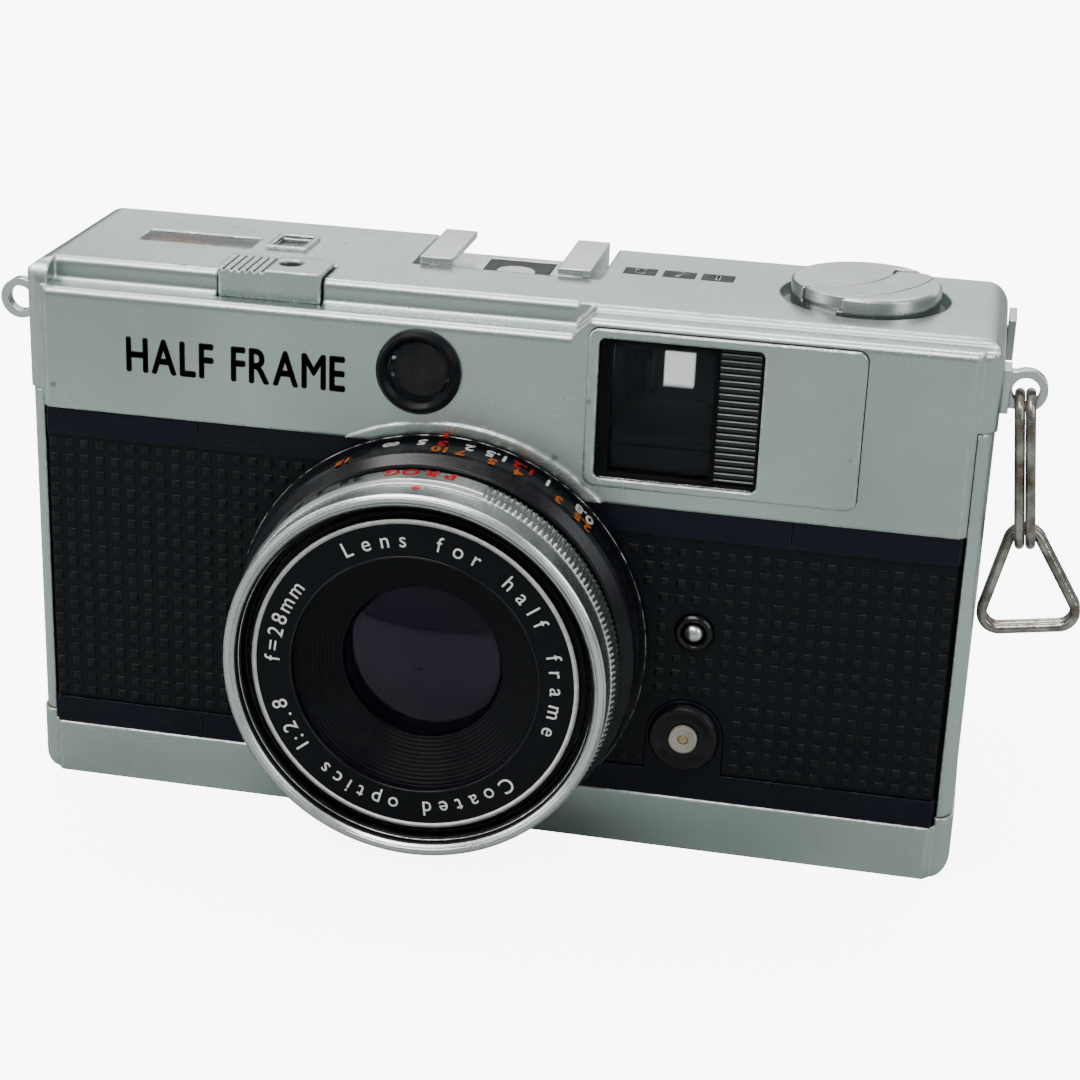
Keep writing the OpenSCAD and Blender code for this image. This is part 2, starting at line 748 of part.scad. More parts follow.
module readout_window() {
    inset = 0.05;
    color([0.5, 0.6, 0.65, 0.4])
        span([read_x0 + inset, read_y0 + inset, roof_z + 0.1],
             [read_x1 - inset, read_y1 - inset, body_h - 0.15]);
}

// Scale plate under the meter needle, in two coloured zones
module readout_plate() {
    color("darkorange") span([read_x0 - 0.8, read_y0 - 0.3, 64.2], [read_x1 + 0.8, read_y1 + 1, 64.7]);
}

// Moving coil meter body
module meter_movement() {
    color("gray") difference() {
        union() {
            translate([-41, -5.5, 57.5]) cylinder(h = 5.6, r = 5.4);
            span([-48.5, 0.5, 63.2], [-33.5, 6, 63.9]);
            span([-44, -2, 60], [-38, 6, 63.2]);
        }
        translate([-41, -5.5, 59]) cylinder(h = 9, r = 1);
    }
}

// Needle of the meter on its own short staff
module meter_needle() {
    color("black") {
        translate([-41, -5.5, 60]) cylinder(h = 5.4, r = 0.6);
        span([-41.2, -7.5, 65], [-40.8, 4, 65.35]);
    }
}

module speed_window() {
    color("silver") difference() {
        span([speed_x0, speed_y0, body_h + 0.02], [speed_x1, speed_y1, body_h + 0.45]);
        span([speed_x0 + speed_rim, speed_y0 + speed_rim, 60],
             [speed_x1 - speed_rim, speed_y1 - speed_rim, 70]);
    }
}

module speed_plate() {
    rim = speed_rim + 0.05;
    color("black") {
        span([speed_x0, speed_y0, roof_z - 0.6], [speed_x1, speed_y1, roof_z - 0.05]);
        span([speed_x0 + rim, speed_y0 + rim, roof_z - 0.1], [speed_x1 - rim, speed_y1 - rim, body_h - 0.2]);
    }
}

// ---- accessory shoe ----

// Folded shoe: two side walls with inward rails, on a floor plate
module shoe_rails() {
    x0 = shoe_x - shoe_w / 2;
    x1 = shoe_x + shoe_w / 2;
    rail_z = shoe_floor + shoe_clear;
    rail_w = (shoe_w - shoe_mouth) / 2;
    color("silver") difference() {
        union() {
            span([x0, shoe_y0, recess_floor + 0.02], [x1, back_y - 0.2, shoe_floor]);
            for (x = [x0, x1 - (shoe_w - shoe_slot) / 2])
                span([x, shoe_y0, recess_floor + 0.02],
                     [x + (shoe_w - shoe_slot) / 2, back_y - 0.2, rail_z + shoe_plate]);
            span([x0, shoe_y0, rail_z], [x0 + rail_w, back_y - 0.2, rail_z + shoe_plate]);
            span([x1 - rail_w, shoe_y0, rail_z], [x1, back_y - 0.2, rail_z + shoe_plate]);
        }
        span([shoe_x - 4.2, 3, 60], [shoe_x + 4.2, 12.6, shoe_floor + 0.1]);
    }
}

module shoe_insulator() {
    color("dimgray") difference() {
        span([shoe_x - 4.1, 3.1, recess_floor + 0.03], [shoe_x + 4.1, 12.5, shoe_floor]);
        translate([shoe_x, contact_y, 60]) cylinder(h = 10, r = contact_r + 0.02);
    }
}

module shoe_contact() {
    color("gainsboro") translate([shoe_x, contact_y, recess_floor + 0.03])
        cylinder(h = shoe_floor - recess_floor + 0.15, r = contact_r);
}

// ---- front accessories ----

module sync_flange() {
    color("black") lens_axis(-1.9, socket_x, socket_z) rotate_extrude() polygon([
        [1.75, 0], [1.95, 0], [1.95, 1.75], [socket_r, 1.75], [socket_r, 2.2],
        [socket_r - 0.35, 2.7], [socket_r - 0.75, 2.75], [2.6, 2.3], [1.75, 2.25]
    ]);
}

module sync_insulator() {
    color("beige") lens_axis(-1.9, socket_x, socket_z) difference() {
        cylinder(h = 2.9, r = 1.7);
        translate([0, 0, -1]) cylinder(h = 6, r = 0.65);
    }
}

module sync_pin() {
    color("goldenrod") lens_axis(-3.6, socket_x, socket_z) cylinder(h = 4.4, r = 0.6);
}

module catch_ring() {
    color("black") lens_axis(-1.7, catch_x, catch_z) rotate_extrude() polygon([
        [1.5, 0], [catch_r, 0], [catch_r, 1.7], [catch_r - 0.3, 2], [1.7, 2], [1.5, 1.8]
    ]);
}

// Ball headed button that frees the sprocket for rewinding
module catch_button() {
    color("silver") lens_axis(-0.4, catch_x, catch_z) {
        sphere(r = catch_ball_r);
        translate([0, 0, -3.4]) cylinder(h = 3.4, r = 0.9);
    }
}

// ---- strap fittings ----

// Eye plate on each end of the body
module strap_lugs() {
    color("silver") for (side = [-1, 1]) translate([0, lug_y, lug_z]) difference() {
        union() {
            translate([side * (half_w + 0.45), 0, 0]) cube([0.9, 3.4, 5.2], center = true);
            translate([side * lug_x, lug_t / 2, 0]) rotate([90, 0, 0])
                cylinder(h = lug_t, r = lug_out_r);
            translate([side * (half_w + lug_x) / 2, 0, 0])
                cube([lug_x - half_w, lug_t, 4.4], center = true);
        }
        translate([side * lug_x, 5, 0]) rotate([90, 0, 0]) cylinder(h = 10, r = lug_hole_r);
    }
}

// Moves children to the foot of the hanging link
module at_link() {
    translate([lug_x, lug_y, lug_z - link_sag]) rotate([0, -link_tilt, 0]) children();
}

// Split link of two turns of wire, through the eye of the lug
module strap_link() {
    color("gray") at_link() for (side = [-0.5, 0.5])
        translate([side * turn_pitch, 0, 0]) wire_loop(link_len, link_r);
}

// Three cornered ring of two turns of wire, through the foot of the link
module strap_ring() {
    color("gray") at_link() translate([0, 0, -link_len + ring_seat])
        rotate([0, link_tilt - ring_lean, 0]) for (side = [-0.5, 0.5])
            translate([0, side * turn_pitch, ring_corner_r])
                wire_triangle(ring_half_base, ring_side_h, ring_corner_r);
}

// ---- base fittings ----

module tripod_socket() {
    color("gainsboro") difference() {
        cylinder(h = cast_bottom + tripod_len - 0.4, r = tripod_out_r);
        translate([0, 0, -1]) cylinder(h = tripod_len + 1, r = tripod_r);
    }
}

// Three slotted screws that hold the bottom cover
module base_screws() {
    color("gainsboro") for (p = screw_places) translate([p[0], p[1], 0]) difference() {
        union() {
            translate([0, 0, 0.15]) cylinder(h = 0.8, r = 1.2);
            translate([0, 0, 0.9]) cylinder(h = 3.6, r = screw_r);
        }
        translate([-2, -0.15, 0]) cube([4, 0.3, 0.5]);
    }
}

module battery() {
    color("lightsteelblue") translate([battery_x, battery_y, 2.2]) {
        cylinder(h = battery_h - 0.8, r = battery_r);
        translate([0, 0, battery_h - 0.9]) cylinder(h = 0.9, r = 6.4);
    }
}

// Battery cap with a coin slot
module battery_cap() {
    color("gainsboro") translate([battery_x, battery_y, 0]) difference() {
        union() {
            translate([0, 0, 0.1]) cylinder(h = 1.15, r = battery_cap_r);
            translate([0, 0, 1.2]) cylinder(h = 0.9, r = battery_r - 0.1);
        }
        translate([-5.5, -0.7, 0]) cube([11, 1.4, 0.8]);
    }
}

// Frame counter dial under its window in the base
module counter_dial() {
    color("white") translate([spool_x, spool_y, 1.2]) difference() {
        cylinder(h = 0.8, r = counter_r);
        translate([0, 0, -1]) cylinder(h = 3, r = 1);
    }
}

module counter_window() {
    color([0.8, 0.85, 0.9, 0.4]) translate([spool_x, counter_window_y, 0.15])
        cylinder(h = 0.8, r = counter_window_r);
}

// ---- lens and shutter ----

module lens_base() {
    color("silver") lens_axis() rotate_extrude($fn = 96) polygon([
        [20.1, -1.75], [boss_r, -1.75], [boss_r, 0.03], [lens_clear_r - gap, 0.03],
        [lens_clear_r - gap, 0.55], [20.1, 0.55]
    ]);
}

// Black focusing ring, with two ribbed grips left to its outer edge
module focus_ring() {
    color("black") lens_axis(0.7) rotate_extrude($fn = 96) polygon([
        [21.3, 0], [focus_r, 0], [focus_r, 3.4], [focus_r - 0.3, 3.9], [stop_r + 0.1, 5],
        [stop_r - 0.2, 5.2], [21.3, 5.2]
    ]);
}

module aperture_ring() {
    color("silver") lens_axis(7.2) rotate_extrude($fn = 96) polygon([
        [21.1, 0], [stop_r, 0], [stop_r, 3.1], [rim_r + 0.05, 3.7], [21.1, 3.7]
    ]);
}

// Fixed barrel that carries the two rings, the glass and the filter thread
module lens_barrel() {
    front = lens_out;
    seat = 12.3;
    thread_end = 13.62;
    color("silver") lens_axis() rotate_extrude($fn = 96) polygon([
        [19.4, -1.7], [20, -1.7], [20, 0.6], [21, 0.6], [21, 6.1], [20.8, 6.1], [20.8, 11.1],
        [rim_r, 11.1], [rim_r, front - 0.4], [rim_r - 0.4, front], [filter_r + 0.3, front],
        [filter_r, front - 0.3], [filter_r, thread_end], [filter_r - 0.3, thread_end],
        [filter_r - 0.3, seat], [16, seat], [16, 11], [19.4, 11]
    ]);
}

// Black name ring, with the stepped funnel down to the front glass
module name_ring() {
    steps = 12;
    top_r = 14.8;
    low_r = glass_r + 0.1;
    funnel_top = 3.6;
    dr = (top_r - low_r) / steps;
    dz = 3.2 / steps;
    outer = [
        [low_r, 0], [15.8, 0], [15.8, 3.65], [20.3, 3.65], [20.3, 3.95], [19.6, 3.95],
        [19.6, 4.85], [top_r, 4.85]
    ];
    stairs = [for (i = [0:steps - 1], k = [0:1]) [top_r - (i + k) * dr, funnel_top - i * dz]];
    color("black") lens_axis(8.7) rotate_extrude($fn = 96) polygon(concat(outer, stairs));
}

// Lens element with a flat back and a domed front
module element(r, h, front_radius) {
    intersection() {
        cylinder(h = h, r = r);
        translate([0, 0, h - front_radius]) sphere(r = front_radius, $fn = 96);
    }
}

// Three elements in front of the shutter
module front_glass() {
    color([0.25, 0.2, 0.45, 0.5]) {
        lens_axis(7.2) element(glass_r, 3.6, 24);
        lens_axis(4.6) element(8.2, 2.2, 26);
        lens_axis(2.2) difference() {
            cylinder(h = 1.8, r = 7.2);
            translate([0, 0, 14.9]) sphere(r = 14, $fn = 96);
        }
    }
}

// Three elements behind the shutter
module rear_glass() {
    color([0.25, 0.3, 0.4, 0.5]) {
        lens_axis(-3.6) element(6.4, 1.6, 30);
        lens_axis(-5.6) element(6.6, 1.9, 40);
        lens_axis(-8.4) element(7, 2.4, 22);
    }
}

// Tube in the throat of the body that holds the glass and the shutter blades
module shutter_housing() {
    color("dimgray") lens_axis() rotate_extrude($fn = 96) polygon([
        [8.6, -10], [19.2, -10], [19.2, 5.5], [17.6, 5.5], [17.6, 8.4], [11.6, 8.4], [11.6, 7],
        [10.2, 7], [10.2, 4], [9, 4], [9, 1.2], [17, 1.2], [17, -1.8], [7.6, -1.8], [7.6, -9],
        [8.6, -9]
    ]);
}

// One shutter blade: a thin half disc on a pivot, side is -1 or 1
module shutter_blade(side) {
    depth = side < 0 ? -0.9 : -0.5;
    pivot = 11.5;
    color("gray") lens_axis(depth) {
        difference() {
            union() {
                intersection() {
                    cylinder(h = 0.2, r = 7.6);
                    translate([side < 0 ? -9 : -0.8, -9, 0]) cube([9.8, 18, 0.2]);
                }
                translate([side * 7.2 - 1.6, 2, 0]) cube([3.2, pivot - 2, 0.2]);
                translate([side * 7.2, pivot, 0]) cylinder(h = 0.2, r = 1.6);
            }
            translate([side * 7.2, pivot, -1]) cylinder(h = 3, r = 0.6);
        }
    }
}

module shutter_blade_a() {
    shutter_blade(-1);
}

module shutter_blade_b() {
    shutter_blade(1);
}

// ---- controls ----

// Wide release button with a ribbed top and a cable release socket
module release_button() {
    rib_pitch = 0.95;
    rib_x = button_x0 + 0.7;
    color("silver") difference() {
        rounded_span([button_x0, button_y0, button_z0], [button_x1, button_y1, button_z1], 0.5);
        for (i = [0:5])
            translate([rib_x + i * rib_pitch, button_y0 - 1, button_z1]) rotate([0, 45, 0])
                translate([-0.32, 0, -0.32]) cube([0.64, 20, 0.64]);
        translate([cable_x, cable_y, button_z1 - cable_depth]) cylinder(h = 6, r = cable_r);
    }
}

// Film advance wheel, with its staff
module thumb_wheel() {
    color("gray") translate([wheel_x, wheel_y, 0]) {
        translate([0, 0, wheel_z0]) difference() {
            cylinder(h = wheel_z1 - wheel_z0, r = wheel_r, $fn = 96);
            for (i = [0:wheel_teeth - 1]) rotate([0, 0, i * 360 / wheel_teeth])
                translate([wheel_r + 0.15, 0, -1]) rotate([0, 0, 45]) cube([0.8, 0.8, 14], center = true);
        }
        translate([0, 0, cast_top + 0.3]) cylinder(h = 7.6, r = 1.5);
    }
}

// Two toothed drums on one shaft
module sprocket() {
    color("gainsboro") translate([sprocket_x, sprocket_y, 0]) {
        translate([0, 0, spool_z0 - 1.5]) cylinder(h = cast_top - spool_z0 + 1.3, r = 1.5);
        for (side = [-1, 1]) translate([0, 0, lens_z + side * perforation_z - 2]) {
            cylinder(h = 4, r = sprocket_r);
            for (i = [0:sprocket_teeth - 1]) rotate([0, 0, (i + 0.5) * 360 / sprocket_teeth])
                translate([0, -0.7, 1.3]) cube([sprocket_r + 1, 1.4, 1.4]);
        }
        translate([0, 0, lens_z - perforation_z]) cylinder(h = 2 * perforation_z, r = 4.6);
    }
}

module takeup_spool() {
    color("black") translate([spool_x, spool_y, 0]) difference() {
        union() {
            translate([0, 0, spool_z0 - 1.5]) cylinder(h = cast_top - spool_z0 + 1.3, r = 1.5);
            translate([0, 0, lens_z - 18.6]) cylinder(h = 37.2, r = 6);
            for (z = [lens_z - 19.4, lens_z + 18.2])
                translate([0, 0, z]) cylinder(h = 1.2, r = 9.6);
        }
        for (a = [0, 60, 120]) rotate([0, 0, a]) translate([2.5, -0.6, lens_z - 16])
            cube([8, 1.2, 32]);
    }
}

// Curved band of the folding crank, clipped to the knob
module crank_band(in_r, out_r, end_y, disc_r) {
    intersection() {
        circle(disc_r, $fn = 96);
        translate(crank_centre) difference() {
            circle(out_r, $fn = 96);
            circle(in_r, $fn = 96);
        }
        translate([-20, -20]) square([40, 20 + end_y]);
    }
}

// Rewind knob with its shaft and the fork that turns the cassette
module rewind_knob() {
    floor_z = knob_z1 - crank_t - 0.25;
    color("silver") translate([knob_x, knob_y, 0]) {
        difference() {
            union() {
                translate([0, 0, knob_z0]) cylinder(h = knob_z1 - knob_z0 - 0.3, r = knob_r, $fn = 96);
                translate([0, 0, knob_z1 - 0.31])
                    cylinder(h = 0.31, r1 = knob_r, r2 = knob_r - 0.3, $fn = 96);
            }
            translate([0, 0, floor_z]) linear_extrude(5) {
                crank_band(crank_in_r - 0.15, crank_out_r + 0.15, crank_hinge[1] + 1.2, knob_r + 1);
                // wider round the hinge, so the crank can turn up
                intersection() {
                    crank_band(crank_in_r - 0.45, crank_out_r + 0.45, crank_hinge[1] + 1.2, knob_r + 1);
                    translate([-10, crank_hinge[1] - 1]) square([20, 5]);
                }
            }
            // finger notch under the free end of the crank
            rotate([0, 0, -126]) translate([knob_r - 1.4, -2.6, floor_z - 0.9]) cube([3, 5.2, 5]);
        }
        translate([0, 0, cassette_z1 - 0.6]) cylinder(h = knob_z0 - cassette_z1 + 1, r = shaft_r);
        for (side = [-1, 1]) translate([side * 1.5 - 0.45, -0.5, cassette_z1 - 3.4])
            cube([0.9, 1, 3.4]);
    }
}

// Folding crank, pivoted near the back of the knob
module rewind_crank() {
    pivot_z = knob_z1 - crank_t / 2;
    color("silver") translate([knob_x, knob_y, 0]) {
        translate([0, 0, knob_z1 - crank_t]) linear_extrude(crank_t)
            crank_band(crank_in_r, crank_out_r, crank_hinge[1], knob_r - 0.25);
        intersection() {
            translate([-10, crank_hinge[1], pivot_z]) rotate([0, 90, 0])
                cylinder(h = 30, r = crank_t / 2);
            translate([0, 0, pivot_z - 2]) linear_extrude(4)
                crank_band(crank_in_r, crank_out_r, crank_hinge[1] + 2, knob_r - 0.25);
        }
    }
}

// ---- back door ----

// Fixed leaf of the hinge, with the pin riveted in it
module door_hinge() {
    low = knuckle_z[1][0];
    high = knuckle_z[1][1];
    color("gainsboro") {
        translate([hinge_x, hinge_y, low]) cylinder(h = high - low, r = hinge_r);
        span([hinge_x - 0.1, 10.8, low], [hinge_x + 0.3, hinge_y, high]);
        translate([hinge_x, hinge_y, knuckle_z[0][0] + 0.2])
            cylinder(h = knuckle_z[2][1] - knuckle_z[0][0] - 0.4, r = pin_r);
    }
}

// Hinged back: a shallow tray with two hinge knuckles and a hook for the latch
module back_door() {
    hook_z = latch_foot_z - 0.2;
    color("silver") difference() {
        union() {
            difference() {
                rounded_span([door_x0, door_inner_y, door_z0], [door_x1, door_outer_y, door_z1], 1);
                span([door_x0 + 2, door_inner_y - 1, door_z0 + 1.2],
                     [door_x1 - 2, door_outer_y - door_wall, door_z1 - 1.2]);
            }
            for (z = [door_z0, door_z1 - 1])
                span([-50, cast_back_y + 0.15, z], [53, door_inner_y + 0.1, z + 1]);
            span([cast_half + 0.25, 10.8, 8.2], [door_x1 - 0.1, door_inner_y + 1, door_z1]);
            for (k = [0, 2]) {
                translate([hinge_x, hinge_y, knuckle_z[k][0]])
                    cylinder(h = knuckle_z[k][1] - knuckle_z[k][0], r = hinge_r);
                span([hinge_x, hinge_y + 0.2, knuckle_z[k][0]],
                     [door_x0 + 1.5, hinge_y + hinge_r - 0.1, knuckle_z[k][1]]);
            }
            span([latch_x0, 10, hook_z - 1.8], [latch_x1, door_inner_y + 1.5, hook_z]);
            span([latch_x0, 10, hook_z - eps], [latch_x1, latch_y0 - 0.2, hook_z + latch_travel]);
        }
        translate([hinge_x, hinge_y, 0]) cylinder(h = 60, r = pin_r + 0.06);
    }
}

// Grained covering on the outside of the door
module door_covering() {
    edge = 1.6;
    color("black")
        rounded_span([door_x0 + edge, door_outer_y, door_z0 + edge],
                     [door_x1 - edge, door_outer_y + 0.5, door_z1 - edge], 0.24);
}

// Plate that holds the film flat against the rails of the gate
module pressure_plate() {
    color("black") span([lens_x - 15, plate_y, lens_z - 16], [lens_x + 15, plate_y + 1.2, lens_z + 16]);
}

// Bowed leaf spring behind the pressure plate
module pressure_spring() {
    back = door_outer_y - door_wall;
    tip_y = plate_y + 1.2 + plate_travel + 0.1;
    color("gainsboro") {
        span([lens_x - 4, back - 0.3, lens_z - 5], [lens_x + 4, back, lens_z + 5]);
        for (side = [-1, 1])
            translate([0, 0, lens_z - 4]) linear_extrude(8) polygon([
                [lens_x + side * 3.5, back], [lens_x + side * 3.5, back - 0.3],
                [lens_x + side * 12, tip_y], [lens_x + side * 13.5, tip_y + 0.3],
                [lens_x + side * 12, tip_y + 0.4]
            ]);
    }
}

// Sliding latch: an outside tab on a strip that locks in front of the door's hook
module door_latch() {
    neck_z0 = 60.4;
    neck_z1 = 62.4;
    color("silver") {
        span([latch_x0, latch_y0, latch_foot_z], [latch_x1, latch_y1, neck_z1]);
        span([latch_x1 - eps, latch_y0, neck_z0], [half_w + 0.3, latch_y1, neck_z1]);
        difference() {
            span([half_w + 0.2, 7.2, 59.6], [half_w + 1.1, latch_y1 + 0.2, 64.6]);
            translate([half_w, 9.2, 63.2]) rotate([0, 90, 0]) cylinder(h = 3, r = 0.6);
        }
    }
}

body_casting();
top_cover();
bottom_cover();
side_caps();
front_covering();
upper_trims();
lower_trims();
finder_frame();
finder_window();
frameline_window();
finder_housing();
eyepiece();
cell_ring();
cell_glass();
light_cell();
readout_window();
readout_plate();
meter_movement();
meter_needle();
speed_window();
speed_plate();
shoe_rails();
shoe_insulator();
shoe_contact();
sync_flange();
sync_insulator();
sync_pin();
catch_ring();
catch_button();
strap_lugs();
strap_link();
strap_ring();
tripod_socket();
base_screws();
battery();
battery_cap();
counter_dial();
counter_window();
lens_base();
focus_ring();
aperture_ring();
lens_barrel();
name_ring();
front_glass();
rear_glass();
shutter_housing();
shutter_blade_a();
shutter_blade_b();
release_button();
thumb_wheel();
sprocket();
takeup_spool();
rewind_knob();
rewind_crank();
door_hinge();
back_door();
door_covering();
pressure_plate();
pressure_spring();
door_latch();
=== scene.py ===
"""Looks, lights and camera for the half frame film camera.

The CAD nodes carry the shape. This script gives each of them a worn, procedural finish, adds the
detail that is finer than the CAD (studs, knurling, scales, threads, lettering) and sets the studio.
"""

import json
import logging
import math
from collections.abc import Callable
from dataclasses import dataclass, field
from enum import Enum

import bmesh
import bpy
from mathutils import Matrix, Vector


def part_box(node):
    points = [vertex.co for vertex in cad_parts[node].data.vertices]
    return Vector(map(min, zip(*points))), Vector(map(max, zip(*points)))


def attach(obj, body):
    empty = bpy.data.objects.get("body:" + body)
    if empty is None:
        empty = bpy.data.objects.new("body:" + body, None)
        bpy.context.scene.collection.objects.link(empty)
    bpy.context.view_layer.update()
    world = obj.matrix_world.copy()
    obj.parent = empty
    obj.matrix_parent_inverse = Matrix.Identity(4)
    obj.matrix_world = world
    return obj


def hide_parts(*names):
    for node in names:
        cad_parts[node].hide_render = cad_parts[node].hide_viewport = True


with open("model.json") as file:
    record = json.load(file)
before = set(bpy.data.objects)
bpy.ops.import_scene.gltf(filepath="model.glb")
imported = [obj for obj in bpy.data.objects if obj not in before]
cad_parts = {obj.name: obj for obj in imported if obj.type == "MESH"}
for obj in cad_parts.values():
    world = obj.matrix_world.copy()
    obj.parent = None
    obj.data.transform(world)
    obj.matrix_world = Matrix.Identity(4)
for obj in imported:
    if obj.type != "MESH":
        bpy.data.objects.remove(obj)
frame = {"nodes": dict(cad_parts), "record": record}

logging.basicConfig(level=logging.INFO, format="%(name)s: %(message)s")
LOG = logging.getLogger("camera_looks")

MM = 0.001
CAP_SHARE = 0.729  # height of a capital against the letters' nominal size
EDGE_GAIN = 9.0
GRIME_SHARE = 0.35  # how dark a grimy speck is against the shaded colour
DUST_ROUGHNESS = 0.5
SCRATCH_ROUGHNESS = 0.12
SCRATCH_DEPTH = 0.5
SPECK_DEPTH = 0.6
COAT_ROUGHNESS = 0.08
RELIEF = 0.00004
RELIEF_STRENGTH = 0.6
RGB = tuple[float, float, float]
Profile = list[tuple[float, float]]
DUST_COLOUR: RGB = (0.3, 0.29, 0.27)
UPSIDE_DOWN = Matrix.Rotation(math.pi, 4, "Z")


class Body(Enum):
    """CAD bodies that added pieces ride on."""

    CAMERA = "camera"
    FOCUS = "focus"
    APERTURE = "aperture"
    DOOR = "door"
    COUNTER = "counter"
    RELEASE = "release"


class Slot(Enum):
    """Material slots of the record."""

    CASTING = "casting"
    CHROME = "satin_chrome"
    LEATHER = "leatherette"
    TRIM = "dark_trim"
    COATED = "coated_glass"
    RIBBED = "ribbed_plastic"
    BLACK_PLASTIC = "black_plastic"
    CELL = "cell_ceramic"
    CLEAR = "clear_window"
    ORANGE = "orange_paint"
    MACHINED = "machined_metal"
    BLACK = "black_paint"
    POLISHED = "polished_steel"
    IVORY = "ivory_plastic"
    BRASS = "brass"
    WIRE = "worn_wire"
    BLADE = "blade_steel"
    SPRING = "spring_steel"


class Marking(Enum):
    """Finishes of painted marks and of small added pieces, among them a painted shadow, a painted highlight
    and a painted glow.
    """

    WHITE = "white_ink"
    RED = "red_ink"
    AMBER = "amber_ink"
    GREY = "grey_ink"
    BLACK = "black_ink"
    ORANGE = "orange_strip"
    SHADOW = "seam_shadow"
    # painted highlight along the rib crests of the window beside the finder
    RIB_HIGHLIGHT = "painted_rib_highlight"
    # painted light: a pale pane that glows, standing in for daylight seen through the finder's eyepiece
    GLOW = "glowing_pane"


class Special(Enum):
    """Finishes of single nodes and pieces that differ from the rest of their slot."""

    KNOB = "knob_plate"
    INNER = "inner_black"
    PANE = "dark_pane"
    NAME = "name_ring_black"
    GLOSS = "gloss_black"
    STUD = "stud_vinyl"
    BASE = "base_black"


class Turned(Enum):
    """Direction of the axis that a part's turning marks run round."""

    NONE = "none"
    LENS = "y"
    UPRIGHT = "z"


@dataclass
class NodeWriter:
    """Writes nodes and links into one node tree."""

    tree: bpy.types.NodeTree

    def add(self, kind: str, **settings: object) -> bpy.types.Node:
        """Adds one node.

        Args:
            kind: Blender's node type.
            settings: Attributes to set on the node.

        Returns:
            The new node.
        """
        node = self.tree.nodes.new(kind)
        for key, value in settings.items():
            setattr(node, key, value)
        return node

    def link(self, source: bpy.types.NodeSocket, target: bpy.types.NodeSocket) -> None:
        """Joins two sockets."""
        self.tree.links.new(source, target)

    def math(
        self, operation: str, first: object, second: object = 0.5, clamp: bool = False
    ) -> bpy.types.NodeSocket:
        """Adds a maths node fed by sockets or numbers.

        Args:
            operation: Blender's name for the operation.
            first: Socket or number for the first input.
            second: Socket or number for the second input.
            clamp: Whether to limit the result to 0..1.

        Returns:
            The result socket.
        """
        node = self.add("ShaderNodeMath", operation=operation, use_clamp=clamp)
        for index, value in enumerate((first, second)):
            if isinstance(value, bpy.types.NodeSocket):
                self.link(value, node.inputs[index])
            else:
                node.inputs[index].default_value = value
        return node.outputs[0]

    def ramp(self, source: bpy.types.NodeSocket, low: float, high: float) -> bpy.types.NodeSocket:
        """Maps a value between two limits to 0..1, clamped.

        Args:
            source: Value to map.
            low: Value that becomes 0.
            high: Value that becomes 1.

        Returns:
            The mapped value.
        """
        node = self.add("ShaderNodeMapRange", clamp=True)
        node.inputs["From Min"].default_value = low
        node.inputs["From Max"].default_value = high
        self.link(source, node.inputs["Value"])
        return node.outputs["Result"]

    def blend(self, factor: bpy.types.NodeSocket, first: object, second: object) -> bpy.types.NodeSocket:
        """Mixes two colours.

        Args:
            factor: Share of the second colour.
            first: Colour socket or RGB value.
            second: Colour socket or RGB value.

        Returns:
            The mixed colour.
        """
        node = self.add("ShaderNodeMix", data_type="RGBA")
        self.link(factor, node.inputs[0])
        for index, value in ((6, first), (7, second)):
            if isinstance(value, bpy.types.NodeSocket):
                self.link(value, node.inputs[index])
            else:
                node.inputs[index].default_value = (*value, 1)
        return node.outputs[2]

    def group(self, tree: bpy.types.NodeTree, values: dict[str, float]) -> bpy.types.Node:
        """Adds one shared group.

        Args:
            tree: The shared group.
            values: Settings of its inputs.

        Returns:
            The group node.
        """
        node = self.add("ShaderNodeGroup", node_tree=tree)
        for key, value in values.items():
            node.inputs[key].default_value = value
        return node


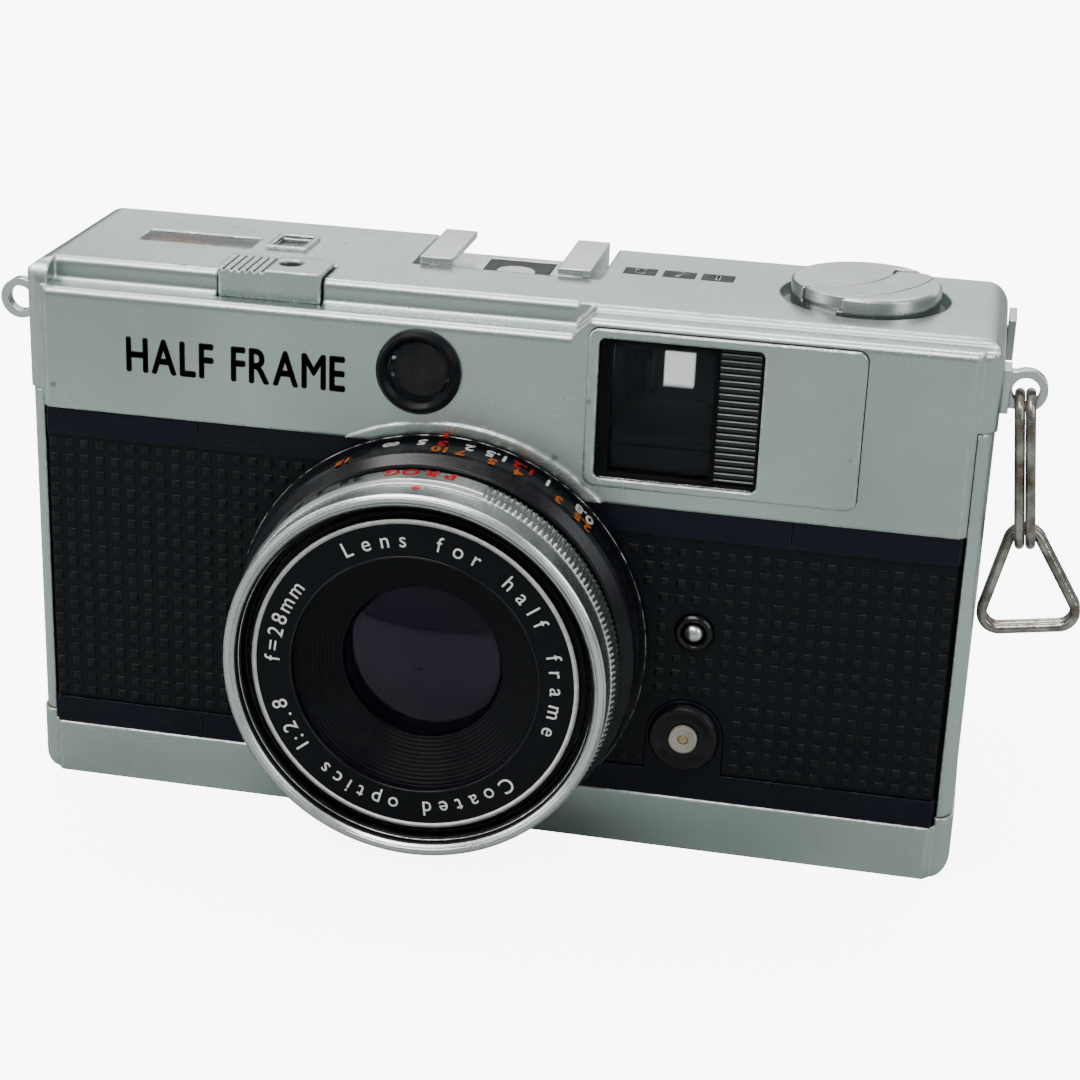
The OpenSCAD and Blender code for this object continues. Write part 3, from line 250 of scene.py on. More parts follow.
@dataclass
class Effects:
    """Shared shader effects, each a node group built once."""

    groups: dict[str, bpy.types.NodeTree] = field(default_factory=dict)

    def _start(
        self, name: str, inputs: dict[str, float], outputs: list[str]
    ) -> tuple[NodeWriter, bpy.types.Node, bpy.types.Node]:
        """Opens a new group with float sockets.

        Args:
            name: Name of the group.
            inputs: Default value of each input.
            outputs: Names of the outputs.

        Returns:
            The writer, the input node and the output node.
        """
        tree = bpy.data.node_groups.new(name, "ShaderNodeTree")
        for key, value in inputs.items():
            socket = tree.interface.new_socket(key, in_out="INPUT", socket_type="NodeSocketFloat")
            socket.default_value = value
        for key in outputs:
            kind = "NodeSocketVector" if key == "Normal" else "NodeSocketFloat"
            tree.interface.new_socket(key, in_out="OUTPUT", socket_type=kind)
        writer = NodeWriter(tree)
        self.groups[name] = tree
        return writer, writer.add("NodeGroupInput"), writer.add("NodeGroupOutput")

    def worn_edge_and_highlight(self) -> bpy.types.NodeTree:
        """Returns the group that finds edges: a broken mask and a softened normal."""
        if "fx_worn_edge_and_highlight" in self.groups:
            return self.groups["fx_worn_edge_and_highlight"]
        w, source, result = self._start(
            "fx_worn_edge_and_highlight", {"Radius": 0.0003, "Gain": 6.0, "Breakup": 900.0}, ["Mask", "Normal"]
        )
        bevel = w.add("ShaderNodeBevel", samples=6)
        w.link(source.outputs["Radius"], bevel.inputs["Radius"])
        geometry = w.add("ShaderNodeNewGeometry")
        dot = w.add("ShaderNodeVectorMath", operation="DOT_PRODUCT")
        w.link(bevel.outputs[0], dot.inputs[0])
        w.link(geometry.outputs["Normal"], dot.inputs[1])
        turn = w.math("SUBTRACT", 1.0, dot.outputs["Value"], clamp=True)
        strong = w.math("MULTIPLY", turn, source.outputs["Gain"], clamp=True)
        coords = w.add("ShaderNodeTexCoord")
        noise = w.add("ShaderNodeTexNoise")
        noise.inputs["Detail"].default_value = 5
        w.link(coords.outputs["Object"], noise.inputs["Vector"])
        w.link(source.outputs["Breakup"], noise.inputs["Scale"])
        broken = w.ramp(noise.outputs["Fac"], low=0.42, high=0.62)
        w.link(w.math("MULTIPLY", strong, broken, clamp=True), result.inputs["Mask"])
        w.link(bevel.outputs[0], result.inputs["Normal"])
        return self.groups["fx_worn_edge_and_highlight"]

    def grain(self) -> bpy.types.NodeTree:
        """Returns the group for slow blotches and fine grain."""
        if "fx_grain" in self.groups:
            return self.groups["fx_grain"]
        w, source, result = self._start(
            "fx_grain", {"Blotch Scale": 60.0, "Grain Scale": 4000.0}, ["Blotch", "Grain"]
        )
        coords = w.add("ShaderNodeTexCoord")
        for key, out, detail in (("Blotch Scale", "Blotch", 6), ("Grain Scale", "Grain", 3)):
            noise = w.add("ShaderNodeTexNoise")
            noise.inputs["Detail"].default_value = detail
            w.link(coords.outputs["Object"], noise.inputs["Vector"])
            w.link(source.outputs[key], noise.inputs["Scale"])
            w.link(w.ramp(noise.outputs["Fac"], low=0.3, high=0.7), result.inputs[out])
        return self.groups["fx_grain"]

    def scratches(self) -> bpy.types.NodeTree:
        """Returns the group for hairline scratches in two directions."""
        if "fx_scratches" in self.groups:
            return self.groups["fx_scratches"]
        w, source, result = self._start("fx_scratches", {"Scale": 160.0, "Amount": 0.5}, ["Mask"])
        coords = w.add("ShaderNodeTexCoord")
        lines = []
        for turn in (0.5, -0.9):
            mapping = w.add("ShaderNodeMapping")
            mapping.inputs["Rotation"].default_value = (0.3, turn, turn * 1.7)
            mapping.inputs["Scale"].default_value = (1.0, 16.0, 12.0)
            noise = w.add("ShaderNodeTexNoise")
            noise.inputs["Detail"].default_value = 1
            w.link(coords.outputs["Object"], mapping.inputs["Vector"])
            w.link(mapping.outputs[0], noise.inputs["Vector"])
            w.link(source.outputs["Scale"], noise.inputs["Scale"])
            off = w.math("ABSOLUTE", w.math("SUBTRACT", noise.outputs["Fac"], 0.5))
            lines.append(w.math("SUBTRACT", 1.0, w.ramp(off, low=0.002, high=0.009)))
        both = w.math("MAXIMUM", lines[0], lines[1])
        patch = w.add("ShaderNodeTexNoise")
        patch.inputs["Scale"].default_value = 95
        w.link(coords.outputs["Object"], patch.inputs["Vector"])
        kept = w.math("MULTIPLY", both, w.ramp(patch.outputs["Fac"], low=0.52, high=0.66))
        w.link(w.math("MULTIPLY", kept, source.outputs["Amount"], clamp=True), result.inputs["Mask"])
        return self.groups["fx_scratches"]

    def specks(self) -> bpy.types.NodeTree:
        """Returns the group for small pits and specks of grime."""
        if "fx_specks" in self.groups:
            return self.groups["fx_specks"]
        w, source, result = self._start("fx_specks", {"Scale": 260.0, "Amount": 0.5}, ["Mask"])
        coords = w.add("ShaderNodeTexCoord")
        cells = w.add("ShaderNodeTexVoronoi", feature="F1")
        w.link(coords.outputs["Object"], cells.inputs["Vector"])
        w.link(source.outputs["Scale"], cells.inputs["Scale"])
        dot = w.math("SUBTRACT", 1.0, w.ramp(cells.outputs["Distance"], low=0.05, high=0.13))
        split = w.add("ShaderNodeSeparateColor")
        w.link(cells.outputs["Color"], split.inputs[0])
        chosen = w.ramp(split.outputs[0], low=0.82, high=0.86)
        w.link(
            w.math("MULTIPLY", w.math("MULTIPLY", dot, chosen), source.outputs["Amount"], clamp=True),
            result.inputs["Mask"],
        )
        return self.groups["fx_specks"]

    def dust(self) -> bpy.types.NodeTree:
        """Returns the group for dust that lies on faces turned upwards."""
        if "fx_dust" in self.groups:
            return self.groups["fx_dust"]
        w, source, result = self._start("fx_dust", {"Scale": 700.0, "Amount": 0.3}, ["Mask"])
        geometry = w.add("ShaderNodeNewGeometry")
        split = w.add("ShaderNodeSeparateXYZ")
        w.link(geometry.outputs["Normal"], split.inputs[0])
        up = w.ramp(split.outputs["Z"], low=-0.2, high=1.0)
        coords = w.add("ShaderNodeTexCoord")
        noise = w.add("ShaderNodeTexNoise")
        noise.inputs["Detail"].default_value = 8
        w.link(coords.outputs["Object"], noise.inputs["Vector"])
        w.link(source.outputs["Scale"], noise.inputs["Scale"])
        flecks = w.ramp(noise.outputs["Fac"], low=0.5, high=0.75)
        lying = w.math("MULTIPLY", up, flecks)
        w.link(w.math("MULTIPLY", lying, source.outputs["Amount"], clamp=True), result.inputs["Mask"])
        return self.groups["fx_dust"]

    def turning(self, axis: Turned) -> bpy.types.NodeTree:
        """Returns the group for fine rings left by turning, round an axis through given coordinates.

        Args:
            axis: Direction of the axis.

        Returns:
            The group.
        """
        name = f"fx_turning_{axis.value}"
        if name in self.groups:
            return self.groups[name]
        inputs = {"Centre A": 0.0, "Centre B": 0.0, "Scale": 9000.0}
        w, source, result = self._start(name, inputs, ["Rings"])
        coords = w.add("ShaderNodeTexCoord")
        split = w.add("ShaderNodeSeparateXYZ")
        w.link(coords.outputs["Object"], split.inputs[0])
        across = ("X", "Z") if axis is Turned.LENS else ("X", "Y")
        along = "Y" if axis is Turned.LENS else "Z"
        squares = []
        for key, centre in zip(across, ("Centre A", "Centre B")):
            offset = w.math("SUBTRACT", split.outputs[key], source.outputs[centre])
            squares.append(w.math("MULTIPLY", offset, offset))
        radius = w.math("SQRT", w.math("ADD", squares[0], squares[1]))
        both = w.add("ShaderNodeCombineXYZ")
        w.link(radius, both.inputs[0])
        w.link(split.outputs[along], both.inputs[1])
        noise = w.add("ShaderNodeTexNoise")
        noise.inputs["Detail"].default_value = 2
        w.link(both.outputs[0], noise.inputs["Vector"])
        w.link(source.outputs["Scale"], noise.inputs["Scale"])
        w.link(w.ramp(noise.outputs["Fac"], low=0.3, high=0.7), result.inputs["Rings"])
        return self.groups[name]


@dataclass(frozen=True)
class Finish:
    """An opaque surface: colours, shine and how it has aged."""

    name: str
    base: RGB
    shade: RGB
    edge: RGB
    metallic: float = 0.0
    edge_metallic: float = 0.0
    roughness: float = 0.4
    spread: float = 0.15
    blotch_scale: float = 60.0
    grain_scale: float = 4000.0
    grain_depth: float = 0.25
    wear: float = 0.5
    wear_radius: float = 0.0003
    specks: float = 0.3
    scratch: float = 0.3
    dust: float = 0.2
    coat: float = 0.0
    specular: float = 0.5
    turned: Turned = Turned.NONE
    centre: tuple[float, float] = (0.0, 0.0)
    ring_depth: float = 0.3
    glow: float = 0.0

    def build(self, effects: Effects) -> bpy.types.Material:
        """Makes the material.

        Args:
            effects: Shared node groups.

        Returns:
            The material.
        """
        material = bpy.data.materials.new(self.name)
        material.use_nodes = True
        w = NodeWriter(material.node_tree)
        shader = material.node_tree.nodes["Principled BSDF"]
        scales = {"Blotch Scale": self.blotch_scale, "Grain Scale": self.grain_scale}
        grain = w.group(effects.grain(), scales)
        edge = w.group(effects.worn_edge_and_highlight(), {"Radius": self.wear_radius, "Gain": EDGE_GAIN * self.wear})
        scratch = w.group(effects.scratches(), {"Amount": self.scratch})
        speck = w.group(effects.specks(), {"Amount": self.specks})
        dust = w.group(effects.dust(), {"Amount": self.dust})
        colour = w.blend(grain.outputs["Blotch"], self.base, self.shade)
        grime = tuple(GRIME_SHARE * c for c in self.shade)
        colour = w.blend(speck.outputs["Mask"], colour, grime)
        marks = w.math("MAXIMUM", edge.outputs["Mask"], scratch.outputs["Mask"])
        # edge colour on edges and scratches: wear, and for the studs and the lens base also a painted
        # highlight
        colour = w.blend(marks, colour, self.edge)
        colour = w.blend(dust.outputs["Mask"], colour, DUST_COLOUR)
        w.link(colour, shader.inputs["Base Color"])
        rough = w.math("MULTIPLY_ADD", grain.outputs["Blotch"], self.spread)
        rough.node.inputs[2].default_value = self.roughness - self.spread / 2
        dusty = w.math("MULTIPLY", dust.outputs["Mask"], DUST_ROUGHNESS)
        rough = w.math("ADD", rough, dusty)
        scratched = w.math("MULTIPLY", scratch.outputs["Mask"], SCRATCH_ROUGHNESS)
        rough = w.math("ADD", rough, scratched, clamp=True)
        w.link(rough, shader.inputs["Roughness"])
        if self.edge_metallic != self.metallic:
            metal = w.math("MULTIPLY_ADD", marks, self.edge_metallic - self.metallic)
            metal.node.inputs[2].default_value = self.metallic
            w.link(metal, shader.inputs["Metallic"])
        else:
            shader.inputs["Metallic"].default_value = self.metallic
        shader.inputs["Specular IOR Level"].default_value = self.specular
        shader.inputs["Coat Weight"].default_value = self.coat
        shader.inputs["Coat Roughness"].default_value = COAT_ROUGHNESS
        # glow is painted light: only the pale pane in the finder tube glows
        shader.inputs["Emission Color"].default_value = (*self.base, 1.0)
        shader.inputs["Emission Strength"].default_value = self.glow
        height = w.math("MULTIPLY", grain.outputs["Grain"], self.grain_depth)
        for mask, depth in ((scratch.outputs["Mask"], SCRATCH_DEPTH), (speck.outputs["Mask"], SPECK_DEPTH)):
            height = w.math("SUBTRACT", height, w.math("MULTIPLY", mask, depth))
        if self.turned is not Turned.NONE:
            middle = {"Centre A": self.centre[0], "Centre B": self.centre[1]}
            rings = w.group(effects.turning(self.turned), middle)
            height = w.math("ADD", height, w.math("MULTIPLY", rings.outputs["Rings"], self.ring_depth))
        bump = w.add("ShaderNodeBump")
        bump.inputs["Distance"].default_value = RELIEF
        bump.inputs["Strength"].default_value = RELIEF_STRENGTH
        w.link(height, bump.inputs["Height"])
        w.link(edge.outputs["Normal"], bump.inputs["Normal"])
        w.link(bump.outputs[0], shader.inputs["Normal"])
        return material


@dataclass(frozen=True)
class GlassFinish:
    """A clear surface with a tinted coating and faint smears."""

    name: str
    tint: RGB
    reflection: RGB
    roughness: float = 0.01
    index: float = 1.5
    specular: float = 0.15
    alpha: float = 1.0
    shade_share: float = 0.8
    smear: float = 0.03
    dust: float = 0.1
    ripple: float = 0.00001
    ripple_strength: float = 0.1

    def build(self, effects: Effects) -> bpy.types.Material:
        """Makes the material.

        Args:
            effects: Shared node groups.

        Returns:
            The material.
        """
        material = bpy.data.materials.new(self.name)
        material.use_nodes = True
        w = NodeWriter(material.node_tree)
        shader = material.node_tree.nodes["Principled BSDF"]
        shader.inputs["Alpha"].default_value = self.alpha
        grain = w.group(effects.grain(), {"Blotch Scale": 120.0, "Grain Scale": 5000.0})
        dust = w.group(effects.dust(), {"Amount": self.dust, "Scale": 1500.0})
        darker = tuple(self.shade_share * c for c in self.tint)
        w.link(w.blend(grain.outputs["Blotch"], self.tint, darker), shader.inputs["Base Color"])
        smear = w.math("MULTIPLY_ADD", grain.outputs["Blotch"], self.smear)
        smear.node.inputs[2].default_value = self.roughness
        w.link(w.math("ADD", smear, dust.outputs["Mask"], clamp=True), shader.inputs["Roughness"])
        shader.inputs["IOR"].default_value = self.index
        shader.inputs["Specular IOR Level"].default_value = self.specular
        shader.inputs["Transmission Weight"].default_value = 1.0
        shader.inputs["Specular Tint"].default_value = (*self.reflection, 1)
        bump = w.add("ShaderNodeBump")
        bump.inputs["Distance"].default_value = self.ripple
        bump.inputs["Strength"].default_value = self.ripple_strength
        w.link(grain.outputs["Grain"], bump.inputs["Height"])
        w.link(bump.outputs[0], shader.inputs["Normal"])
        return material


@dataclass
class Palette:
    """Every finish of the object, built once and looked up by slot, marking or special use."""

    effects: Effects
    lens_centre: tuple[float, float]
    knob_centre: tuple[float, float]
    made: dict[str, bpy.types.Material] = field(default_factory=dict)

    def build(self) -> None:
        """Makes every material."""
        finishes: dict[Enum, Finish | GlassFinish] = {
            Slot.CASTING: Finish(
                "cast alloy", (0.006, 0.006, 0.007), (0.003, 0.003, 0.004), (0.05, 0.05, 0.05),
                metallic=0.1, edge_metallic=0.6, roughness=0.65, grain_scale=2200.0, grain_depth=0.8,
                wear=0.3, specular=0.1, dust=0.04,
            ),
            Slot.CHROME: Finish(
                "satin chrome", (0.475, 0.545, 0.518), (0.38, 0.44, 0.415), (0.78, 0.80, 0.78),
                metallic=0.97, edge_metallic=0.97, roughness=0.27, spread=0.09, blotch_scale=38.0,
                grain_scale=7000.0, grain_depth=0.3, wear=0.55, wear_radius=0.0006, specks=0.7,
                scratch=0.2, dust=0.12,
            ),
            Slot.LEATHER: Finish(
                "grained vinyl", (0.0013, 0.0022, 0.0036), (0.002, 0.003, 0.0046), (0.03, 0.032, 0.04),
                roughness=0.42, spread=0.2, blotch_scale=140.0, grain_scale=2600.0, grain_depth=0.7,
                wear=0.35, wear_radius=0.00012, specks=0.2, scratch=0.04, dust=0.05, specular=0.16,
            ),
            Slot.TRIM: Finish(
                "blue black enamel", (0.0025, 0.0034, 0.0095), (0.0016, 0.0022, 0.006), (0.12, 0.12, 0.14),
                edge_metallic=0.7, roughness=0.3, spread=0.12, wear=0.16, wear_radius=0.00015, specks=0.2,
                scratch=0.06, dust=0.04, specular=0.16,
            ),
            Slot.COATED: GlassFinish(
                "coated glass", (0.2, 0.165, 0.27), (0.85, 0.75, 1.0), index=1.42, specular=0.5,
                roughness=0.0,
            ),
            Slot.RIBBED: Finish(
                "ribbed window", (0.003, 0.0034, 0.0045), (0.005, 0.0055, 0.007), (0.2, 0.2, 0.2),
                roughness=0.16, spread=0.08, wear=0.1, wear_radius=0.00008, coat=0.2,
                scratch=0.08, specular=0.4, dust=0.03,
            ),
            Slot.BLACK_PLASTIC: Finish(
                "black moulding", (0.0035, 0.0037, 0.0045), (0.006, 0.006, 0.007), (0.03, 0.03, 0.03),
                roughness=0.42, spread=0.2, grain_scale=3200.0, grain_depth=0.5, wear=0.25, scratch=0.06,
                specular=0.15, dust=0.04,
            ),
            Slot.CELL: Finish(
                "cell ceramic", (0.03, 0.024, 0.018), (0.012, 0.01, 0.009), (0.06, 0.05, 0.04),
                roughness=0.5, grain_depth=0.8, blotch_scale=500.0, specular=0.2, dust=0.0,
            ),
            Slot.CLEAR: GlassFinish(
                "clear window", (0.75, 0.78, 0.82), (0.9, 0.92, 1.0), index=1.3, specular=0.5, alpha=0.4,
            ),
            Slot.ORANGE: Finish(
                "readout plate", (0.01, 0.01, 0.011), (0.015, 0.015, 0.015), (0.05, 0.05, 0.05),
                roughness=0.5, specular=0.2,
            ),
            Slot.MACHINED: Finish(
                "turned alloy", (0.48, 0.50, 0.49), (0.36, 0.38, 0.37), (0.72, 0.73, 0.71), metallic=1.0,
                edge_metallic=1.0, roughness=0.3, grain_scale=5000.0, wear=0.6, scratch=0.25, dust=0.1,
            ),
            Special.KNOB: Finish(
                "knob plate", (0.52, 0.545, 0.535), (0.40, 0.425, 0.415), (0.8, 0.81, 0.79), metallic=1.0,
                edge_metallic=1.0, roughness=0.28, grain_scale=5000.0, wear=0.3, scratch=0.12, dust=0.06,
                turned=Turned.UPRIGHT, centre=self.knob_centre, ring_depth=0.12,
            ),
            Special.INNER: Finish(
                "inner black", (0.002, 0.002, 0.0025), (0.003, 0.003, 0.0035), (0.02, 0.02, 0.02),
                roughness=0.55, specular=0.08, dust=0.0, wear=0.1,
            ),
            Special.NAME: Finish(
                "name ring black", (0.0016, 0.0021, 0.0034), (0.0024, 0.0029, 0.0044), (0.03, 0.03, 0.035),
                roughness=0.34, spread=0.08, wear=0.05, specks=0.2, scratch=0.03, dust=0.02, specular=0.12,
            ),
            Special.GLOSS: Finish(
                "gloss black", (0.002, 0.0022, 0.003), (0.003, 0.0033, 0.004), (0.1, 0.1, 0.1),
                roughness=0.12, spread=0.06, wear=0.1, specks=0.3, scratch=0.03, dust=0.02, specular=0.26,
            ),
            # the light grey edge colour laid on by the edge mask is partly worn-through metal and partly a
            # painted highlight along the ring's outer edge
            Special.BASE: Finish(
                "base black", (0.0022, 0.0027, 0.0042), (0.0034, 0.004, 0.0058), (0.55, 0.56, 0.54),
                edge_metallic=0.95, roughness=0.22, spread=0.1, wear=0.55, wear_radius=0.0002, specks=0.3,
                scratch=0.05, dust=0.04, specular=0.2,
            ),
            # the light edge colour laid on by the edge mask is partly wear and partly a painted highlight
            # along the stud edges
            Special.STUD: Finish(
                "stud vinyl", (0.002, 0.0023, 0.0034), (0.003, 0.0034, 0.0048), (0.06, 0.064, 0.075),
                roughness=0.33, spread=0.12, blotch_scale=500.0, grain_scale=2600.0, grain_depth=0.3,
                wear=0.4, wear_radius=0.0001, specks=0.1, scratch=0.02, dust=0.04, specular=0.2,
            ),
            Special.PANE: GlassFinish(
                "dark pane", (0.5, 0.53, 0.6), (0.85, 0.9, 1.0), index=1.3, specular=0.5, alpha=0.5,
            ),
            Slot.BLACK: Finish(
                "black enamel", (0.0022, 0.0027, 0.0042), (0.0034, 0.004, 0.0058), (0.16, 0.15, 0.13),
                edge_metallic=0.8, roughness=0.24, spread=0.1, wear=0.2, wear_radius=0.00012, specks=0.25,
                scratch=0.05, dust=0.03, specular=0.22, turned=Turned.LENS, centre=self.lens_centre,
                ring_depth=0.02,
            ),
            Slot.POLISHED: Finish(
                "bright plate", (0.62, 0.645, 0.63), (0.52, 0.54, 0.53), (0.84, 0.85, 0.83), metallic=0.97,
                edge_metallic=0.97, roughness=0.24, spread=0.08, grain_scale=6000.0, grain_depth=0.2,
                wear=0.6, specks=0.5, scratch=0.16, dust=0.1, turned=Turned.LENS, centre=self.lens_centre,
                ring_depth=0.06,
            ),
            Slot.IVORY: Finish(
                "off white moulding", (0.36, 0.34, 0.28), (0.22, 0.2, 0.16), (0.5, 0.46, 0.4),
                roughness=0.5, blotch_scale=400.0,
            ),
            Slot.BRASS: Finish(
                "plain brass", (0.55, 0.4, 0.2), (0.38, 0.27, 0.13), (0.75, 0.6, 0.35), metallic=1.0,
                edge_metallic=1.0, roughness=0.3, blotch_scale=900.0,
            ),
            Slot.WIRE: Finish(
                "browned wire", (0.40, 0.385, 0.35), (0.11, 0.08, 0.055), (0.7, 0.68, 0.64), metallic=0.97,
                edge_metallic=0.97, roughness=0.2, spread=0.22, blotch_scale=520.0, grain_scale=2500.0,
                grain_depth=0.8, specks=0.8, scratch=0.3,
            ),
            Slot.BLADE: Finish(
                "blued blade", (0.008, 0.008, 0.011), (0.005, 0.005, 0.007), (0.03, 0.03, 0.03),
                metallic=0.2, edge_metallic=0.3, roughness=0.4, specular=0.15, dust=0.0,
            ),
            Slot.SPRING: Finish(
                "spring strip", (0.5, 0.5, 0.5), (0.38, 0.37, 0.35), (0.7, 0.7, 0.7), metallic=1.0,
                edge_metallic=1.0, roughness=0.28,
            ),
            Marking.WHITE: self._ink("white ink", (0.78, 0.79, 0.74)),
            Marking.RED: self._ink("red ink", (0.5, 0.012, 0.018)),
            Marking.AMBER: self._ink("amber ink", (0.62, 0.16, 0.02)),
            Marking.GREY: self._ink("grey ink", (0.3, 0.33, 0.34)),
            Marking.BLACK: self._ink("black ink", (0.003, 0.0032, 0.004)),
            Marking.SHADOW: self._ink("seam shadow", (0.02, 0.021, 0.02)),
            # painted highlight: a pale grey laid along each rib crest of the window beside the finder
            Marking.RIB_HIGHLIGHT: self._ink("rib crest highlight", (0.42, 0.45, 0.46)),
            # painted light: a pale finish that glows, standing in for daylight seen through the eyepiece
            Marking.GLOW: Finish(
                "pale glass glow", (0.85, 0.86, 0.8), (0.78, 0.79, 0.72), (0.9, 0.9, 0.88), roughness=0.2,
                blotch_scale=300.0, wear=0.0, specks=0.2, scratch=0.0, dust=0.05, glow=1.1,
            ),
            Marking.ORANGE: self._ink("orange strip", (0.55, 0.13, 0.03)),
        }
        for key, finish in finishes.items():
            self.made[key.value] = finish.build(self.effects)
            LOG.info("finish %s", finish.name)

    @staticmethod
    def _ink(name: str, colour: RGB) -> Finish:
        """Describes paint rubbed into an engraving.

        Args:
            name: Name of the finish.
            colour: Colour of the paint.

        Returns:
            The finish.
        """
        faded = tuple(0.72 * c for c in colour)
        return Finish(
            name, colour, faded, faded, roughness=0.42, blotch_scale=900.0, wear=0.0, specks=0.2,
            scratch=0.05, specular=0.15, dust=0.03,
        )

    def get(self, key: Slot | Marking | Special) -> bpy.types.Material:
        """Returns the material of one slot, marking or special finish."""
        return self.made[key.value]


@dataclass
class Workshop:
    """Makes meshes in the shared frame and hands them over as named pieces."""

    palette: Palette
    names: list[str] = field(default_factory=list)

    def finish_piece(
        self, name: str, mesh: bmesh.types.BMesh, body: Body, slot: Slot,
        paint: Slot | Marking | Special | None = None,
    ) -> bpy.types.Object:
        """Turns a mesh into a piece that rides on a body.

        Args:
            name: Name of the piece.
            mesh: Its geometry, in metres; it is freed.
            body: Body it moves with.
            slot: Material slot of the record it belongs to.
            paint: Finish, if it isn't the slot's own.

        Returns:
            The new object.
        """
        bmesh.ops.recalc_face_normals(mesh, faces=mesh.faces)
        data = bpy.data.meshes.new(name)
        mesh.to_mesh(data)
        mesh.free()
        obj = bpy.data.objects.new(name, data)
        bpy.context.scene.collection.objects.link(obj)
        data.materials.append(self.palette.get(paint or slot))
        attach(obj, body.value)
        self.names.append(name)
        LOG.info("piece %s: %d faces", name, len(data.polygons))
        return obj

    @staticmethod
    def lathe(
        profile: Profile, axis: "Axis", segments: int = 128,
        radial: Callable[[int, float], float] | None = None,
    ) -> bmesh.types.BMesh:
        """Turns a closed profile round an axis.

        Args:
            profile: Points of (radius, distance along the axis), in millimetres.
            axis: Axis to turn round.
            segments: Number of steps round the axis.
            radial: Optional function of (point index, angle) that gives a change of radius.

        Returns:
            The solid.
        """
        mesh = bmesh.new()
        rings = []
        for step in range(segments):
            angle = 2 * math.pi * step / segments
            ring = []
            for index, (radius, along) in enumerate(profile):
                change = radial(index, angle) if radial else 0.0
                ring.append(mesh.verts.new(axis.point(radius + change, angle, along)))
            rings.append(ring)
        for step in range(segments):
            here, there = rings[step], rings[(step + 1) % segments]
            for index in range(len(profile)):
                after = (index + 1) % len(profile)
                face = mesh.faces.new((here[index], there[index], there[after], here[after]))
                face.smooth = radial is None
        return mesh

    @staticmethod
    def box(mesh: bmesh.types.BMesh, low: Vector, high: Vector) -> None:
        """Adds a box to a mesh.

        Args:
            mesh: Mesh to add to.
            low: Lowest corner in metres.
            high: Highest corner in metres.
        """
        size = high - low
        place = Matrix.Translation((low + high) / 2) @ Matrix.Diagonal((*size, 1))
        bmesh.ops.create_cube(mesh, size=1.0, matrix=place)

    @staticmethod
    def glyph(
        text: str, tall: float, depth: float, squeeze: float = 1.0
    ) -> tuple[bmesh.types.BMesh, float]:
        """Makes solid lettering on its baseline, centred across.

        Args:
            text: What to write.
            tall: Height of a capital in millimetres.
            depth: Thickness in millimetres.
            squeeze: Width of the letters against their natural width.

        Returns:
            The lettering in metres and its width in millimetres.
        """
        curve = bpy.data.curves.new("letters", "FONT")
        curve.body = text
        curve.extrude = 0.5
        curve.resolution_u = 4
        holder = bpy.data.objects.new("letters", curve)
        bpy.context.scene.collection.objects.link(holder)
        graph = bpy.context.evaluated_depsgraph_get()
        data = bpy.data.meshes.new_from_object(holder.evaluated_get(graph))
        mesh = bmesh.new()
        mesh.from_mesh(data)
        bpy.data.objects.remove(holder)
        bpy.data.curves.remove(curve)
        bpy.data.meshes.remove(data)
        xs = [v.co.x for v in mesh.verts]
        scale = tall / CAP_SHARE
        middle = Vector(((max(xs) + min(xs)) / 2, 0, 0))
        shrink = Matrix.Diagonal((scale * squeeze * MM, scale * MM, depth * MM, 1))
        mesh.transform(shrink @ Matrix.Translation(-middle))
        return mesh, (max(xs) - min(xs)) * scale * squeeze

    @staticmethod
    def embolden(mesh: bmesh.types.BMesh, amount: float) -> bmesh.types.BMesh:
        """Thickens lettering by laying shifted copies of it over each other.

        Args:
            mesh: Lettering in its own plane; it is freed.
            amount: Distance of each shift in millimetres.

        Returns:
            The heavier lettering.
        """
        copies = []
        for dx, dy in ((-1, 0), (1, 0), (0, -1), (0, 1)):
            copy = mesh.copy()
            copy.transform(Matrix.Translation((dx * amount * MM, dy * amount * MM, 0)))
            copies.append(copy)
        mesh.free()
        return Workshop.join(copies)

    @staticmethod
    def label(
        text: str, tall: float, depth: float, place: Matrix, weight: float = 0.0
    ) -> bmesh.types.BMesh:
        """Makes a short label centred on a place.

        Args:
            text: What to write.
            tall: Height of a figure in millimetres.
            depth: Thickness in millimetres.
            place: Where its middle goes, in metres.
            weight: Distance to thicken by in millimetres.

        Returns:
            The label.
        """
        mesh, _ = Workshop.glyph(text, tall, depth)
        if weight:
            mesh = Workshop.embolden(mesh, weight)
        mesh.transform(place @ Matrix.Translation((0, -tall * MM / 2, 0)))
        return mesh

    @staticmethod
    def join(parts: list[bmesh.types.BMesh]) -> bmesh.types.BMesh:
        """Joins several meshes into one.

        Args:
            parts: Meshes to join; they are freed.

        Returns:
            The joined mesh.
        """
        whole = bmesh.new()
        for part in parts:
            data = bpy.data.meshes.new("part")
            part.to_mesh(data)
            part.free()
            whole.from_mesh(data)
            bpy.data.meshes.remove(data)
        return whole


